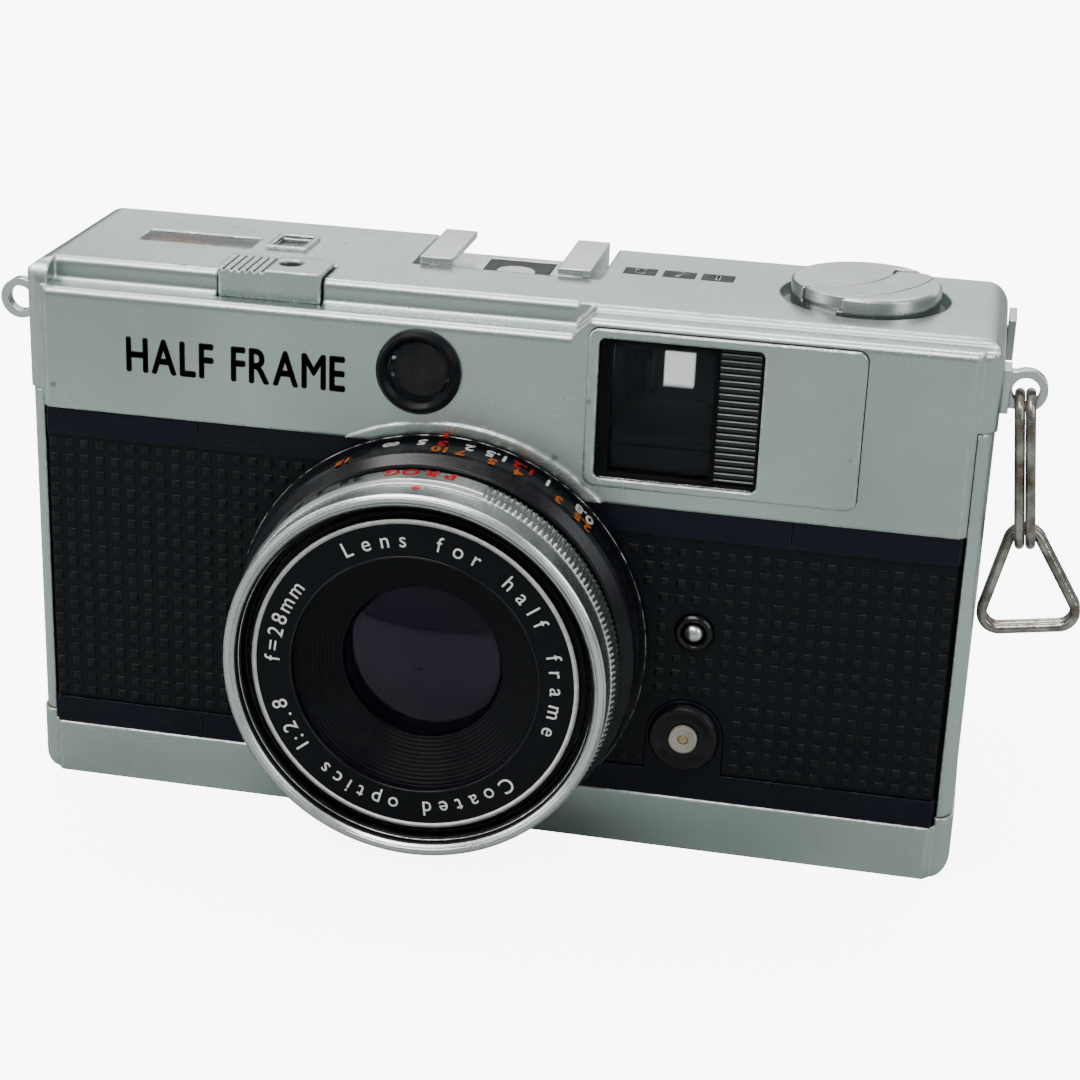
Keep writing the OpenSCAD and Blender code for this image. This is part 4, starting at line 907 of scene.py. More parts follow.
@dataclass(frozen=True)
class Axis:
    """An axis parallel to Y, out of the lens, that round details are placed about."""

    x: float
    z: float
    face_y: float

    def point(self, radius: float, angle: float, out: float) -> Vector:
        """Gives a point about the axis.

        Args:
            radius: Distance from the axis in millimetres.
            angle: Radians clockwise from the top, seen from the front.
            out: Millimetres in front of the front face.

        Returns:
            The point in metres.
        """
        return Vector(
            (
                self.x + radius * MM * math.sin(angle),
                self.face_y - out * MM,
                self.z + radius * MM * math.cos(angle),
            )
        )

    def on_side(self, radius: float, degrees: float, out: float) -> Matrix:
        """Places lettering on the side of a ring, to be read from above the camera.

        Args:
            radius: Radius of the ring in millimetres.
            degrees: Degrees clockwise from the top.
            out: Millimetres in front of the front face.

        Returns:
            The placement.
        """
        angle = math.radians(degrees)
        across = Vector((-math.cos(angle), 0, math.sin(angle)))
        outward = Vector((math.sin(angle), 0, math.cos(angle)))
        turn = Matrix((across, Vector((0, -1, 0)), outward)).transposed().to_4x4()
        return Matrix.Translation(self.point(radius, angle, out)) @ turn

    def on_face(self, radius: float, degrees: float, out: float) -> Matrix:
        """Places lettering on a face turned to the front, with its top outwards.

        Args:
            radius: Radius of the lettering in millimetres.
            degrees: Degrees clockwise from the top.
            out: Millimetres in front of the front face.

        Returns:
            The placement.
        """
        angle = math.radians(degrees)
        across = Vector((math.cos(angle), 0, -math.sin(angle)))
        upward = Vector((math.sin(angle), 0, math.cos(angle)))
        turn = Matrix((across, upward, Vector((0, -1, 0)))).transposed().to_4x4()
        return Matrix.Translation(self.point(radius, angle, out)) @ turn


@dataclass
class StuddedSkin:
    """Rows of small square studs on the front covering and on the door."""

    shop: Workshop
    lens: Axis
    pitch: float = 1.95
    foot: float = 1.05
    crown: float = 0.5
    height: float = 0.2
    shoulder_share: float = 0.93
    shoulder_height: float = 0.55
    lens_clear_r: float = 25.6
    catch_clear_r: float = 3.1
    sync_clear_r: float = 5.4
    step_z: float = 40.5

    def _stud(self, mesh: bmesh.types.BMesh, x: float, y: float, z: float, out: float) -> None:
        """Adds one stud.

        Args:
            mesh: Mesh to add to.
            x: Middle of the stud in metres.
            y: Depth of its foot in metres.
            z: Height of its middle in metres.
            out: -1 to point forwards, 1 to point backwards.
        """
        shoulder = (self.foot * self.shoulder_share, self.shoulder_height)
        layers = ((self.foot, 0.0), shoulder, (self.crown, 1.0))
        rings = []
        for width, share in layers:
            half = width * MM / 2
            depth = y + out * self.height * MM * share
            corners = ((-half, -half), (half, -half), (half, half), (-half, half))
            rings.append([mesh.verts.new((x + dx, depth, z + dz)) for dx, dz in corners])
        for low, high in zip(rings, rings[1:]):
            for k in range(4):
                mesh.faces.new((low[k], low[(k + 1) % 4], high[(k + 1) % 4], high[k]))
        mesh.faces.new(rings[-1])
        mesh.faces.new(list(reversed(rings[0])))

    def _field(
        self, low: Vector, high: Vector, y: float, out: float, keep: Callable[[float, float], bool]
    ) -> bmesh.types.BMesh:
        """Fills a rectangle with studs.

        Args:
            low: Lowest corner in metres.
            high: Highest corner in metres.
            y: Depth of the surface in metres.
            out: Direction the studs point along Y.
            keep: Function of (x, z) that says whether a stud is there.

        Returns:
            The studs.
        """
        mesh = bmesh.new()
        step = self.pitch * MM
        across = int((high.x - low.x - self.foot * MM) / step)
        up = int((high.z - low.z - self.foot * MM) / step)
        start_x = (low.x + high.x - across * step) / 2
        start_z = (low.z + high.z - up * step) / 2
        for i in range(across + 1):
            for k in range(up + 1):
                x, z = start_x + i * step, start_z + k * step
                if keep(x, z):
                    self._stud(mesh, x, y, z, out)
        return mesh

    def build(self) -> None:
        """Makes the studs of the front and of the door."""
        low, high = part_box("front_covering")
        catch_low, catch_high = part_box("catch_ring")
        sync_low, sync_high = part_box("sync_flange")
        catch = (catch_low + catch_high) / 2
        sync = (sync_low + sync_high) / 2
        half = self.foot * MM / 2

        def on_front(x: float, z: float) -> bool:
            """Says whether a stud fits clear of the lens, the small fittings and the stepped edge."""
            clear_lens = math.hypot(x - self.lens.x, z - self.lens.z) > self.lens_clear_r * MM + half
            clear_catch = math.hypot(x - catch.x, z - catch.z) > self.catch_clear_r * MM + half
            clear_sync = math.hypot(x - sync.x, z - sync.z) > self.sync_clear_r * MM + half
            in_hump = abs(x - sync.x) < self.sync_clear_r * MM and z < sync.z
            under_step = x < self.lens.x or z < self.step_z * MM - half
            return clear_lens and clear_catch and clear_sync and not in_hump and under_step

        front = self._field(low, high, low.y, -1, on_front)
        self.shop.finish_piece("front_studs", front, Body.CAMERA, Slot.LEATHER, Special.STUD)
        low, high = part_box("door_covering")
        back = self._field(low, high, high.y, 1, lambda x, z: True)
        self.shop.finish_piece("door_studs", back, Body.DOOR, Slot.LEATHER, Special.STUD)


@dataclass(frozen=True)
class Thread:
    """A threaded lining in section: distances along the axis and radii, in millimetres."""

    wall_r: float
    root_r: float
    crest_r: float
    start: float
    first: float
    pitch: float
    rise: float
    turns: int
    end: float

    def profile(self) -> Profile:
        """Gives the lining's closed outline."""
        outline = [(self.wall_r, self.start)]
        for turn in range(self.turns):
            out = self.first + turn * self.pitch
            outline += [(self.root_r, out), (self.crest_r, out + self.rise)]
        return outline + [(self.root_r, self.end), (self.wall_r, self.end)]


@dataclass
class LensDetail:
    """Knurling, scales, thread and lettering of the lens."""

    shop: Workshop
    lens: Axis
    stop_r: float = 23.4
    stop_bore_r: float = 21.1
    stop_bevel_r: float = 22.95
    stop_out: float = 8.3
    focus_r: float = 24.81
    metres_out: float = 1.6
    feet_out: float = 3.7
    figure_depth: float = 0.05
    knurl_from: float = 17.6
    knurl_to: float = 212.0
    knurl_pitch: float = 1.84
    valley_share: float = 0.17
    flank_share: float = 0.16
    name_face: float = 13.55
    name_r: float = 16.2
    name_tall: float = 1.95
    circle: tuple[float, float] = (19.05, 19.6)
    lining: Thread = Thread(21.19, 21.12, 20.92, 12.35, 12.5, 0.28, 0.14, 4, 13.62)
    filter_lining: Thread = Thread(21.49, 21.46, 21.26, 13.63, 13.64, 0.25, 0.12, 3, 14.39)
    floor_inner_r: float = 20.31
    floor_thickness: float = 0.04
    dot_r: float = 0.55
    index_half: float = 0.3

    def _aperture_ring(self) -> None:
        """Replaces the aperture ring with one that is knurled part of the way round."""
        low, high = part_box("aperture_ring")
        back = (self.lens.face_y - high.y) / MM
        front = (self.lens.face_y - low.y) / MM
        inner, outer = self.stop_bore_r, self.stop_r
        profile = [
            (inner, back), (outer - 0.25, back), (outer, back + 0.2), (outer, back + 0.8),
            (outer, front - 0.9), (outer - 0.05, front - 0.6), (self.stop_bevel_r, front), (inner, front),
        ]
        cut = {2: 0.35, 3: 0.45, 4: 0.45, 5: 0.35}

        def groove(index: int, angle: float) -> float:
            """Gives the depth of the knurling at one point of the profile."""
            degrees = math.degrees(angle)
            if index not in cut or not self.knurl_from < degrees < self.knurl_to:
                return 0.0
            phase = ((degrees - self.knurl_from) / self.knurl_pitch) % 1.0
            flank = (abs(phase - 0.5) - self.valley_share) / self.flank_share
            valley = min(1.0, max(0.0, flank))
            return -cut[index] * valley

        mesh = Workshop.lathe(profile, self.lens, 1440, groove)
        ring = self.shop.finish_piece("aperture_grip", mesh, Body.APERTURE, Slot.POLISHED)
        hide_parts("aperture_ring")

    def _thread(self) -> None:
        """Adds the black linings of the rim, with their thread ridges, and the floor between them."""
        for name, thread in (("inner_lining", self.lining), ("filter_thread_lining", self.filter_lining)):
            mesh = Workshop.lathe(thread.profile(), self.lens, 160)
            self.shop.finish_piece(name, mesh, Body.CAMERA, Slot.BLACK)
        high = self.lining.start
        low = high - self.floor_thickness
        inner, outer = self.floor_inner_r, self.lining.wall_r - 0.01
        mesh = Workshop.lathe([(inner, low), (outer, low), (outer, high), (inner, high)], self.lens, 160)
        self.shop.finish_piece("thread_floor", mesh, Body.CAMERA, Slot.BLACK)

    def _rings(self) -> None:
        """Adds the white circle on the name ring, the funnel's lip and the bead on the rim."""
        out = self.name_face
        inner, outer = self.circle
        white = [(inner, out - 0.02), (outer, out - 0.02), (outer, out + 0.03), (inner, out + 0.03)]
        mesh = Workshop.lathe(white, self.lens, 192)
        self.shop.finish_piece("white_circle", mesh, Body.CAMERA, Slot.BLACK, Marking.WHITE)
        lip = [
            (14.8, out - 0.3), (15.1, out - 0.3), (15.1, out + 0.08), (14.95, out + 0.12),
            (14.8, out + 0.08),
        ]
        self.shop.finish_piece("funnel_lip", Workshop.lathe(lip, self.lens, 192), Body.CAMERA, Slot.BLACK)
        bead = [
            (22.55, 14.62), (22.75, 14.66), (22.75, 14.74), (22.4, 14.78), (21.9, 14.74), (21.8, 14.62),
        ]
        mesh = Workshop.lathe(bead, self.lens, 192)
        self.shop.finish_piece("rim_bead", mesh, Body.CAMERA, Slot.POLISHED)

    def _ring_text(self, text: str, start: float, end: float) -> list[bmesh.types.BMesh]:
        """Writes letters round the name ring, spread evenly between two angles.

        Args:
            text: What to write.
            start: Degrees clockwise from the top where the first letter starts.
            end: Degrees where the last letter ends.

        Returns:
            The letters.
        """
        word_gap, depth, squeeze = 1.0, 0.04, 0.95
        made = [
            (None, word_gap) if letter == " " else Workshop.glyph(letter, self.name_tall, depth, squeeze)
            for letter in text
        ]
        middle = self.name_r + self.name_tall / 2
        used = sum(math.degrees(width / middle) for _, width in made)
        space = (end - start - used) / (len(made) - 1)
        degrees = start
        letters = []
        for mesh, width in made:
            turn = math.degrees(width / middle)
            if mesh:
                mesh.transform(self.lens.on_face(self.name_r, degrees + turn / 2, self.name_face + 0.02))
                letters.append(mesh)
            degrees += turn + space
        return letters

    def _lettering(self) -> None:
        """Writes generic wording round the name ring."""
        rows = (
            ("Lens for half frame", -30.0, 109.0), ("Coated optics", 135.0, 220.0), ("1:2.8", 231.0, 253.0),
            ("f=28mm", 270.0, 306.0),
        )
        parts = [mesh for row in rows for mesh in self._ring_text(*row)]
        whole = Workshop.join(parts)
        self.shop.finish_piece("name_lettering", whole, Body.CAMERA, Slot.BLACK, Marking.WHITE)

    def _figures(
        self, row: tuple[tuple[str, float], ...], radius: float, out: float, tall: float, weight: float
    ) -> list[bmesh.types.BMesh]:
        """Writes figures on the side of a ring.

        Args:
            row: Each figure with its degrees clockwise from the top.
            radius: Radius of the ring in millimetres.
            out: Millimetres in front of the front face.
            tall: Height of a figure in millimetres.
            weight: Distance to thicken by in millimetres.

        Returns:
            The figures.
        """
        return [
            Workshop.label(text, tall, self.figure_depth, self.lens.on_side(radius, at, out), weight)
            for text, at in row
        ]

    def _scales(self) -> None:
        """Writes the distance numbers on the focusing ring and the stops on the aperture ring."""
        metres = (("5", -5.4), ("2", 7.8), ("1.5", 15.3), ("1", 31.2), ("0.8", 44.3))
        feet = (
            ("15", -27.7), ("10", 0.4), ("7", 6.4), ("5", 15.3), ("4", 22.9), ("3", 36.0), ("2.5", 44.8),
        )
        reds = (("3", 0.3), ("1.2", 23.3))
        rows = (
            (metres, self.metres_out, 1.8, Marking.WHITE), (feet, self.feet_out, 1.7, Marking.AMBER),
            (reds, self.metres_out, 1.8, Marking.RED),
        )
        for number, (row, out, tall, ink) in enumerate(rows):
            parts = self._figures(row, self.focus_r, out, tall, 0.05)
            if ink is Marking.WHITE:
                place = self.lens.on_side(self.focus_r, -14.1, out) @ Matrix.Rotation(math.pi / 2, 4, "Z")
                parts.append(Workshop.label("8", 2.0, self.figure_depth, place, 0.05))
            whole = Workshop.join(parts)
            self.shop.finish_piece(f"distance_scale_{number}", whole, Body.FOCUS, Slot.BLACK, ink)
        radius = self.stop_r + 0.01
        stops = (("2.8", -23.0), ("4", -33.0), ("5.6", -43.0), ("8", -53.0), ("11", -63.0), ("16", -74.0))
        whole = Workshop.join(self._figures(stops, radius, self.stop_out, 1.7, 0.05))
        self.shop.finish_piece("stop_scale", whole, Body.APERTURE, Slot.POLISHED, Marking.BLACK)
        letters = tuple(zip("PROG", (6.4, 0.9, -5.0, -10.4)))
        whole = Workshop.join(self._figures(letters, radius, self.stop_out, 1.9, 0.09))
        self.shop.finish_piece("mode_mark", whole, Body.APERTURE, Slot.POLISHED, Marking.RED)

    def _dots(self) -> None:
        """Adds the red index marks of the rim and of the base ring."""
        rim = bmesh.new()
        bmesh.ops.create_cone(
            rim, cap_ends=True, segments=24, radius1=self.dot_r * MM, radius2=(self.dot_r - 0.05) * MM,
            depth=0.08 * MM, matrix=self.lens.on_side(22.91, -1.3, 11.9),
        )
        self.shop.finish_piece("rim_dot", rim, Body.CAMERA, Slot.POLISHED, Marking.RED)
        base = bmesh.new()
        foot = self.lens.point(25.2, math.radians(0.6), 0.62)
        low = Vector((-self.index_half, -0.03, 0)) * MM
        high = Vector((self.index_half, 0.1, 0.55)) * MM
        Workshop.box(base, foot + low, foot + high)
        self.shop.finish_piece("base_index", base, Body.CAMERA, Slot.CHROME, Marking.RED)

    def build(self) -> None:
        """Makes every lens detail."""
        self._aperture_ring()
        self._thread()
        self._rings()
        self._lettering()
        self._scales()
        self._dots()


@dataclass
class TopDetail:
    """Lettering, readout and window details of the top cover."""

    shop: Workshop
    face_y: float
    plate_z: float
    badge_y: float = 5.1
    badge_half: tuple[float, float, float] = (2.0, 1.5, 0.02)
    strip_height: float = 0.25

    def _front_lettering(self) -> None:
        """Writes generic wording where the cover is engraved."""
        start, end, base, tall, squeeze = -44.7, -17.8, 54.9, 4.4, 0.72
        word_gap, depth, weight = 1.1, 0.1, 0.12
        turn = Matrix(((1, 0, 0), (0, 0, -1), (0, 1, 0))).to_4x4()
        made = [
            (None, word_gap) if letter == " " else Workshop.glyph(letter, tall, depth, squeeze)
            for letter in "HALF FRAME"
        ]
        space = (end - start - sum(width for _, width in made)) / (len(made) - 1)
        at = start
        parts = []
        for mesh, width in made:
            if mesh:
                mesh = Workshop.embolden(mesh, weight)
                mesh.transform(Matrix.Translation(((at + width / 2) * MM, self.face_y, base * MM)) @ turn)
                parts.append(mesh)
            at += width + space
        whole = Workshop.join(parts)
        self.shop.finish_piece("cover_lettering", whole, Body.CAMERA, Slot.CHROME, Marking.BLACK)

    def _badge(self) -> None:
        """Adds three dark inlays with bright figures beside the shoe, to be read from behind."""
        plates, figures = bmesh.new(), []
        half = Vector(self.badge_half) * MM
        tall, depth, weight = 2.0, 0.08, 0.12
        for x, text in ((13.9, "2"), (18.7, "/"), (23.4, "1")):
            middle = Vector((x * MM, self.badge_y * MM, self.plate_z))
            Workshop.box(plates, middle - half, middle + half)
            place = Matrix.Translation(middle) @ UPSIDE_DOWN
            figures.append(Workshop.label(text, tall, depth, place, weight))
        self.shop.finish_piece("badge_inlay", plates, Body.CAMERA, Slot.CHROME, Marking.BLACK)
        self.shop.finish_piece("badge_figures", Workshop.join(figures), Body.CAMERA, Slot.CHROME)

    def _readout(self) -> None:
        """Adds the orange and grey strips under the readout window."""
        low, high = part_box("readout_window")
        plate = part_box("readout_plate")[1].z
        depth = high.y - low.y
        middle = low.x + (high.x - low.x) * 0.56
        strips = (
            ("readout_orange", low.x + 0.2 * MM, middle, 0.3, 0.85, Marking.ORANGE),
            ("readout_grey", middle + 1.6 * MM, high.x - 0.8 * MM, 0.35, 0.75, Marking.GREY),
        )
        for name, x0, x1, share0, share1, ink in strips:
            mesh = bmesh.new()
            Workshop.box(
                mesh, Vector((x0, low.y + depth * share0, plate)),
                Vector((x1, low.y + depth * share1, plate + self.strip_height * MM)),
            )
            self.shop.finish_piece(name, mesh, Body.CAMERA, Slot.ORANGE, ink)

    def _speed_number(self) -> None:
        """Adds the film speed number, to be read from behind the camera."""
        low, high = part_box("speed_window")
        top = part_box("speed_plate")[1].z
        place = Matrix.Translation(((low.x + high.x) / 2, (low.y + high.y) / 2, top))
        mesh = Workshop.label("100", 1.7, 0.05, place @ UPSIDE_DOWN, 0.06)
        self.shop.finish_piece("speed_number", mesh, Body.CAMERA, Slot.BLACK, Marking.WHITE)

    def build(self) -> None:
        """Makes every detail of the top cover."""
        self._front_lettering()
        self._badge()
        self._readout()
        self._speed_number()


@dataclass
class FinderDetail:
    """Fine parts of the finder: a painted shadow line round its raised frame, painted highlights on the
    ribs of the bright window, and a glowing pale pane with a dark board in its tube.
    """

    shop: Workshop
    face_y: float
    shadow_width: float = 0.12
    seam_rise: float = 0.03
    corner_r: float = 1.2
    corner_steps: int = 6
    rib_pitch: float = 0.8
    rib_middle: float = 0.52
    highlight_width: float = 0.13
    highlight_inset: float = 0.1
    pane_from_side: float = 7.4
    pane_depth: float = 3.9
    pane_below_top: float = 3.3
    pane_half: tuple[float, float, float] = (1.75, 0.1, 2.35)
    board_margin: tuple[float, float, float] = (1.9, -0.05, 1.4)
    board_shift: tuple[float, float, float] = (0.7, 0.2, -0.4)

    def _outline(self, offset: float, y: float) -> list[Vector]:
        """Gives points on the frame's rounded outline.

        Args:
            offset: Distance outside the frame in millimetres.
            y: Depth of the points in metres.

        Returns:
            The points, in order.
        """
        low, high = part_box("finder_frame")
        radius = self.corner_r * MM
        corners = (
            (high.x - radius, high.z - radius, 0), (low.x + radius, high.z - radius, 90),
            (low.x + radius, low.z + radius, 180), (high.x - radius, low.z + radius, 270),
        )
        points = []
        for x, z, start in corners:
            for step in range(self.corner_steps + 1):
                angle = math.radians(start + 90 * step / self.corner_steps)
                reach = radius + offset * MM
                points.append(Vector((x + reach * math.cos(angle), y, z + reach * math.sin(angle))))
        return points

    def _seam(self) -> None:
        """Adds a painted shadow: the dark line at the foot of the raised frame."""
        front = self.face_y - self.seam_rise * MM
        loops = [self._outline(0.0, front), self._outline(self.shadow_width, front)]
        loops += [self._outline(self.shadow_width, self.face_y), self._outline(0.0, self.face_y)]
        mesh = bmesh.new()
        rings = [[mesh.verts.new(point) for point in loop] for loop in loops]
        count = len(rings[0])
        for first, second in zip(rings, rings[1:] + rings[:1]):
            for k in range(count):
                mesh.faces.new((first[k], first[(k + 1) % count], second[(k + 1) % count], second[k]))
        self.shop.finish_piece("finder_seam_shadow", mesh, Body.CAMERA, Slot.CHROME, Marking.SHADOW)

    def _rib_highlights(self) -> None:
        """Adds a painted highlight along the crest of each rib in the window beside the finder."""
        low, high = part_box("frameline_window")
        mesh = bmesh.new()
        for rib in range(int((high.z - low.z) / (self.rib_pitch * MM))):
            z = low.z + (rib + self.rib_middle) * self.rib_pitch * MM
            near = Vector((low.x + self.highlight_inset * MM, low.y - self.seam_rise * MM, z))
            far = Vector((high.x - self.highlight_inset * MM, low.y, z + self.highlight_width * MM))
            Workshop.box(mesh, near, far)
        self.shop.finish_piece("rib_highlights", mesh, Body.CAMERA, Slot.RIBBED, Marking.RIB_HIGHLIGHT)

    def _tube_glow_pane(self) -> None:
        """Adds a small pale pane in the finder tube that glows as painted light, standing in for daylight
        through the eyepiece, and a dark board round it as painted shade.
        """
        low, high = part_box("finder_window")
        x, z = low.x + self.pane_from_side * MM, high.z - self.pane_below_top * MM
        middle = Vector((x, self.face_y + self.pane_depth * MM, z))
        half = Vector(self.pane_half) * MM
        pane, board = bmesh.new(), bmesh.new()
        Workshop.box(pane, middle - half, middle + half)
        half += Vector(self.board_margin) * MM
        middle += Vector(self.board_shift) * MM
        Workshop.box(board, middle - half, middle + half)
        self.shop.finish_piece("tube_glow_pane", pane, Body.CAMERA, Slot.CLEAR, Marking.GLOW)
        # painted shade: a black board that stands for the shade in the tube round the glowing pane
        self.shop.finish_piece("tube_shade_board", board, Body.CAMERA, Slot.BLACK_PLASTIC)

    def build(self) -> None:
        """Makes every detail of the finder."""
        self._seam()
        self._rib_highlights()
        self._tube_glow_pane()


@dataclass
class ReleaseDetail:
    """Painted shade in the grooves of the release button."""

    shop: Workshop
    first_groove: float = 0.7
    pitch: float = 0.95
    count: int = 6
    half_width: float = 0.17
    inset: float = 0.25
    floor_below: float = 0.43
    top_below: float = 0.26

    def build(self) -> None:
        """Lays a dark line of painted shade along the bottom of each groove."""
        low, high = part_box("release_button")
        half, inset = self.half_width * MM, self.inset * MM
        mesh = bmesh.new()
        for groove in range(self.count):
            x = low.x + (self.first_groove + groove * self.pitch) * MM
            near = Vector((x - half, low.y + inset, high.z - self.floor_below * MM))
            far = Vector((x + half, high.y - inset, high.z - self.top_below * MM))
            Workshop.box(mesh, near, far)
        self.shop.finish_piece("groove_shadow", mesh, Body.RELEASE, Slot.CHROME, Marking.SHADOW)


@dataclass
class CounterDetail:
    """Marks on the frame counter dial."""

    shop: Workshop
    steps: int = 72
    tick_r: float = 8.0
    long_tick: float = 1.6
    short_tick: float = 0.9
    tick_width: float = 0.2
    tick_height: float = 0.06

    def build(self) -> None:
        """Adds a tick for each step of the dial, and a longer one every tenth step."""
        low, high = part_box("counter_dial")
        centre = (low + high) / 2
        mesh = bmesh.new()
        for step in range(self.steps):
            long = self.long_tick if step % 10 == 0 else self.short_tick
            angle = 2 * math.pi * step / self.steps
            at = Vector((math.sin(angle), math.cos(angle), 0)) * (self.tick_r - long / 2) * MM
            at += Vector((centre.x, centre.y, low.z))
            place = Matrix.Translation(at) @ Matrix.Rotation(-angle, 4, "Z")
            size = Matrix.Diagonal((self.tick_width * MM, long * MM, self.tick_height * MM, 1))
            bmesh.ops.create_cube(mesh, size=1.0, matrix=place @ size)
        self.shop.finish_piece("counter_ticks", mesh, Body.COUNTER, Slot.IVORY, Marking.BLACK)


@dataclass
class Dresser:
    """Gives every CAD node the finish of its slot."""

    palette: Palette
    nodes: dict[str, bpy.types.Object]
    subparts: list[dict[str, str]]
    special: dict[str, Special] = field(
        default_factory=lambda: {
            "rewind_knob": Special.KNOB, "rewind_crank": Special.KNOB, "name_ring": Special.NAME,
            "cell_ring": Special.NAME, "lens_base": Special.BASE, "sync_flange": Special.GLOSS,
            "catch_ring": Special.GLOSS, "finder_window": Special.PANE, "cell_glass": Special.PANE,
            "shutter_housing": Special.INNER, "finder_housing": Special.INNER,
        }
    )

    def dress(self) -> None:
        """Assigns the materials."""
        for part in self.subparts:
            obj = self.nodes[part["node"]]
            material = self.palette.get(self.special.get(part["node"], Slot(part["material_slot"])))
            obj.data.materials.clear()
            obj.data.materials.append(material)
            LOG.info("dressed %s with %s", part["node"], material.name)


@dataclass(frozen=True)
class Lamp:
    """One soft rectangular light: place and size in metres, power in watts."""

    name: str
    at: tuple[float, float, float]
    size: tuple[float, float]
    power: float
    colour: RGB
    target: tuple[float, float, float] = (0.0, 0.0, 0.035)

    def hang(self) -> None:
        """Hangs the light so that it points at the object."""
        lamp = bpy.data.lights.new(self.name, "AREA")
        lamp.shape = "RECTANGLE"
        lamp.size, lamp.size_y = self.size
        lamp.energy = self.power
        lamp.color = self.colour
        obj = bpy.data.objects.new(self.name, lamp)
        bpy.context.scene.collection.objects.link(obj)
        obj.location = self.at
        aim = Vector(self.target) - Vector(self.at)
        obj.rotation_mode = "QUATERNION"
        obj.rotation_quaternion = aim.to_track_quat("-Z", "Y")


LAMPS = (
    Lamp("key", (-0.22, -0.38, 0.85), (0.9, 0.22), 9.0, (1.0, 0.99, 0.96)),
    Lamp("fill", (0.75, -0.35, 0.45), (0.3, 0.6), 2.5, (0.93, 0.97, 1.0)),
    Lamp("left", (-0.8, -0.3, 0.35), (0.3, 0.6), 2.5, (0.98, 1.0, 1.0)),
    Lamp("top", (0.0, 0.45, 0.85), (0.9, 0.4), 9.0, (0.97, 1.0, 1.0)),
    Lamp("back", (0.15, 1.0, 0.46), (1.5, 0.32), 3.0, (0.97, 1.0, 1.0)),
)


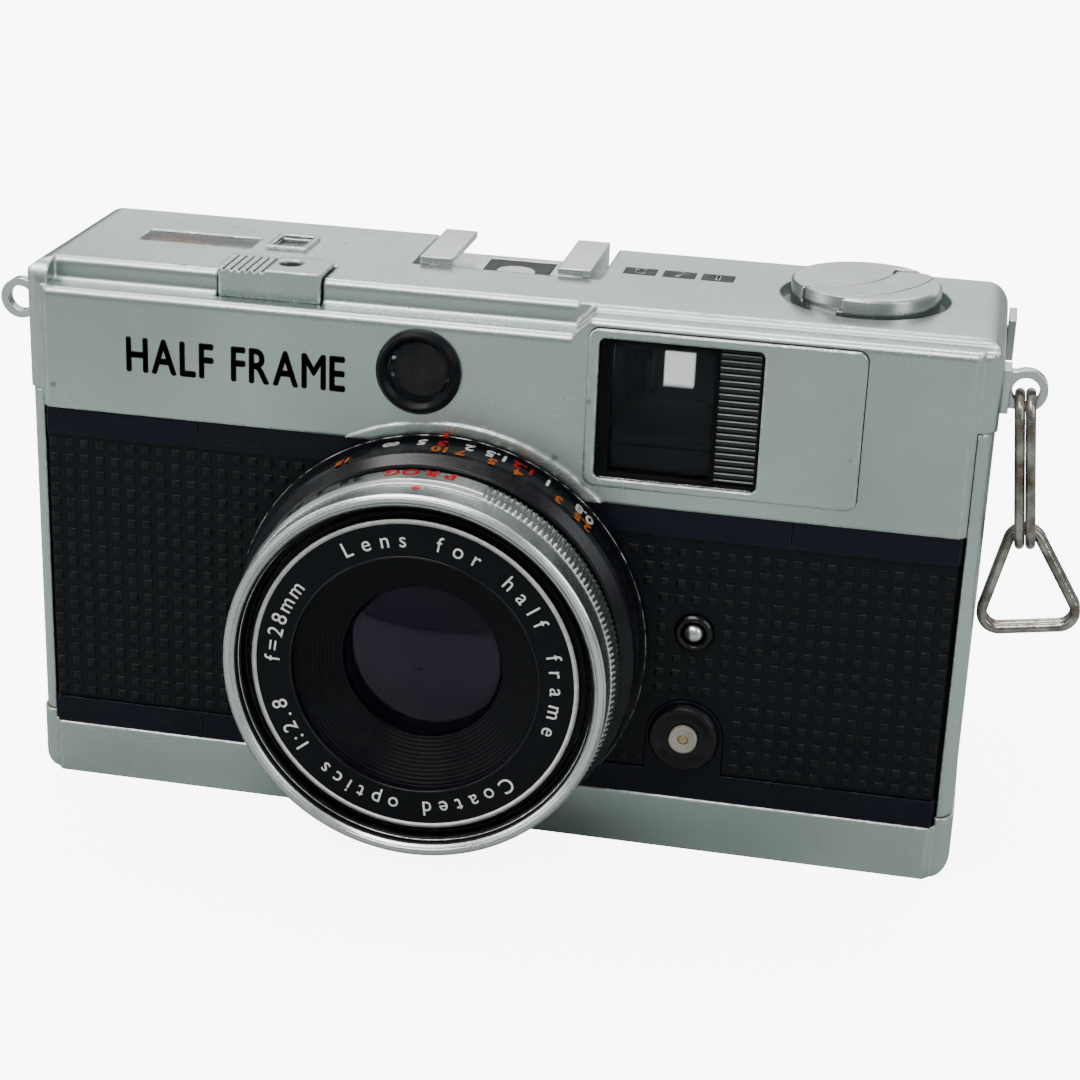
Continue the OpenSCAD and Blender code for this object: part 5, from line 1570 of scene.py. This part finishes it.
@dataclass
class Studio:
    """Floor, lights, sky and camera."""

    place: tuple[float, float, float] = (53.33, -273.92, 143.05)
    azimuth: float = 10.82
    elevation: float = 21.66
    roll: float = 2.11
    focal_share: float = 2388.6 / 1080
    film_width: float = 36.0
    shift: tuple[float, float] = (0.0204, 0.0024)
    floor_half: float = 2.6
    floor_near: float = -2.0
    sweep_from: float = 1.2
    sweep_r: float = 0.6
    sweep_steps: int = 12
    floor_top: float = 2.4
    floor_glow: float = 7.0
    floor_bounce: RGB = (0.3, 0.33, 0.33)
    floor_grain: float = 900.0
    floor_roughness: float = 0.8
    sky_low: RGB = (0.42, 0.46, 0.48)
    sky_high: RGB = (1.0, 1.0, 1.0)
    sky_strength: float = 0.62

    def _paper(self) -> bpy.types.Material:
        """Makes the floor's finish: pale and bright to the camera, plain grey to every other ray."""
        material = bpy.data.materials.new("paper floor")
        material.use_nodes = True
        w = NodeWriter(material.node_tree)
        shader = material.node_tree.nodes["Principled BSDF"]
        coords = w.add("ShaderNodeTexCoord")
        noise = w.add("ShaderNodeTexNoise")
        noise.inputs["Scale"].default_value = self.floor_grain
        w.link(coords.outputs["Object"], noise.inputs["Vector"])
        rays = w.add("ShaderNodeLightPath")
        paper = w.blend(noise.outputs["Fac"], (0.86, 0.87, 0.87), (0.90, 0.90, 0.90))
        colour = w.blend(rays.outputs["Is Camera Ray"], self.floor_bounce, paper)
        w.link(colour, shader.inputs["Base Color"])
        shader.inputs["Roughness"].default_value = self.floor_roughness
        seen = w.blend(rays.outputs["Is Camera Ray"], (0.0, 0.0, 0.0), (1.0, 1.0, 1.0))
        w.link(seen, shader.inputs["Emission Color"])
        shader.inputs["Emission Strength"].default_value = self.floor_glow
        return material

    def _floor(self) -> None:
        """Lays a pale floor that curves up behind the object."""
        mesh = bmesh.new()
        section = [(self.floor_near, 0.0), (self.sweep_from, 0.0)]
        for step in range(1, self.sweep_steps + 1):
            angle = math.radians(90 * step / self.sweep_steps)
            along = self.sweep_from + self.sweep_r * math.sin(angle)
            section.append((along, self.sweep_r - self.sweep_r * math.cos(angle)))
        section.append((self.sweep_from + self.sweep_r, self.floor_top))
        sides = (-self.floor_half, self.floor_half)
        rows = [[mesh.verts.new((x, y, z)) for y, z in section] for x in sides]
        for k in range(len(section) - 1):
            face = mesh.faces.new((rows[0][k], rows[1][k], rows[1][k + 1], rows[0][k + 1]))
            face.smooth = True
        data = bpy.data.meshes.new("floor")
        mesh.to_mesh(data)
        mesh.free()
        floor = bpy.data.objects.new("floor", data)
        bpy.context.scene.collection.objects.link(floor)
        data.materials.append(self._paper())

    def _sky(self) -> None:
        """Sets a soft sky that is brighter overhead than at the sides."""
        world = bpy.data.worlds.new("studio sky")
        bpy.context.scene.world = world
        world.use_nodes = True
        w = NodeWriter(world.node_tree)
        background = world.node_tree.nodes["Background"]
        coords = w.add("ShaderNodeTexCoord")
        split = w.add("ShaderNodeSeparateXYZ")
        w.link(coords.outputs["Generated"], split.inputs[0])
        up = w.ramp(split.outputs["Z"], low=-0.1, high=0.9)
        w.link(w.blend(up, self.sky_low, self.sky_high), background.inputs["Color"])
        background.inputs["Strength"].default_value = self.sky_strength

    def _camera(self) -> None:
        """Places the camera that looks at the object from the front, a little from above."""
        a, e, r = (math.radians(v) for v in (self.azimuth, self.elevation, self.roll))
        forward = Vector((-math.sin(a) * math.cos(e), math.cos(a) * math.cos(e), -math.sin(e)))
        right = Vector((math.cos(a), math.sin(a), 0))
        up = right.cross(forward)
        turned_right = right * math.cos(r) + up * math.sin(r)
        turned_up = up * math.cos(r) - right * math.sin(r)
        lens = bpy.data.cameras.new("view")
        lens.sensor_width = self.film_width
        lens.lens = self.film_width * self.focal_share
        lens.shift_x, lens.shift_y = self.shift
        lens.clip_start = 0.01
        camera = bpy.data.objects.new("view", lens)
        bpy.context.scene.collection.objects.link(camera)
        turn = Matrix((turned_right, turned_up, -forward)).transposed().to_4x4()
        camera.matrix_world = Matrix.Translation(Vector(self.place) * MM) @ turn
        bpy.context.scene.camera = camera

    def build(self) -> None:
        """Makes the whole studio."""
        self._floor()
        self._sky()
        for lamp in LAMPS:
            lamp.hang()
        self._camera()
        LOG.info("studio ready")


def main() -> None:
    """Builds the finishes, the added pieces and the studio, in that order."""
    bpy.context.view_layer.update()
    ring_low, ring_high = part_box("focus_ring")
    face_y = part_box("bottom_cover")[0].y
    lens = Axis((ring_low.x + ring_high.x) / 2, (ring_low.z + ring_high.z) / 2, face_y)
    knob_low, knob_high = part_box("rewind_knob")
    palette = Palette(
        Effects(), (lens.x, lens.z), ((knob_low.x + knob_high.x) / 2, (knob_low.y + knob_high.y) / 2)
    )
    palette.build()
    shop = Workshop(palette)
    Dresser(palette, frame["nodes"], frame["record"]["subparts"]).dress()
    StuddedSkin(shop, lens).build()
    LensDetail(shop, lens).build()
    TopDetail(shop, face_y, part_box("top_cover")[1].z).build()
    FinderDetail(shop, face_y).build()
    ReleaseDetail(shop).build()
    CounterDetail(shop).build()
    Studio().build()
    LOG.info("%d pieces added", len(shop.names))


if __name__ == "__main__":
    main()
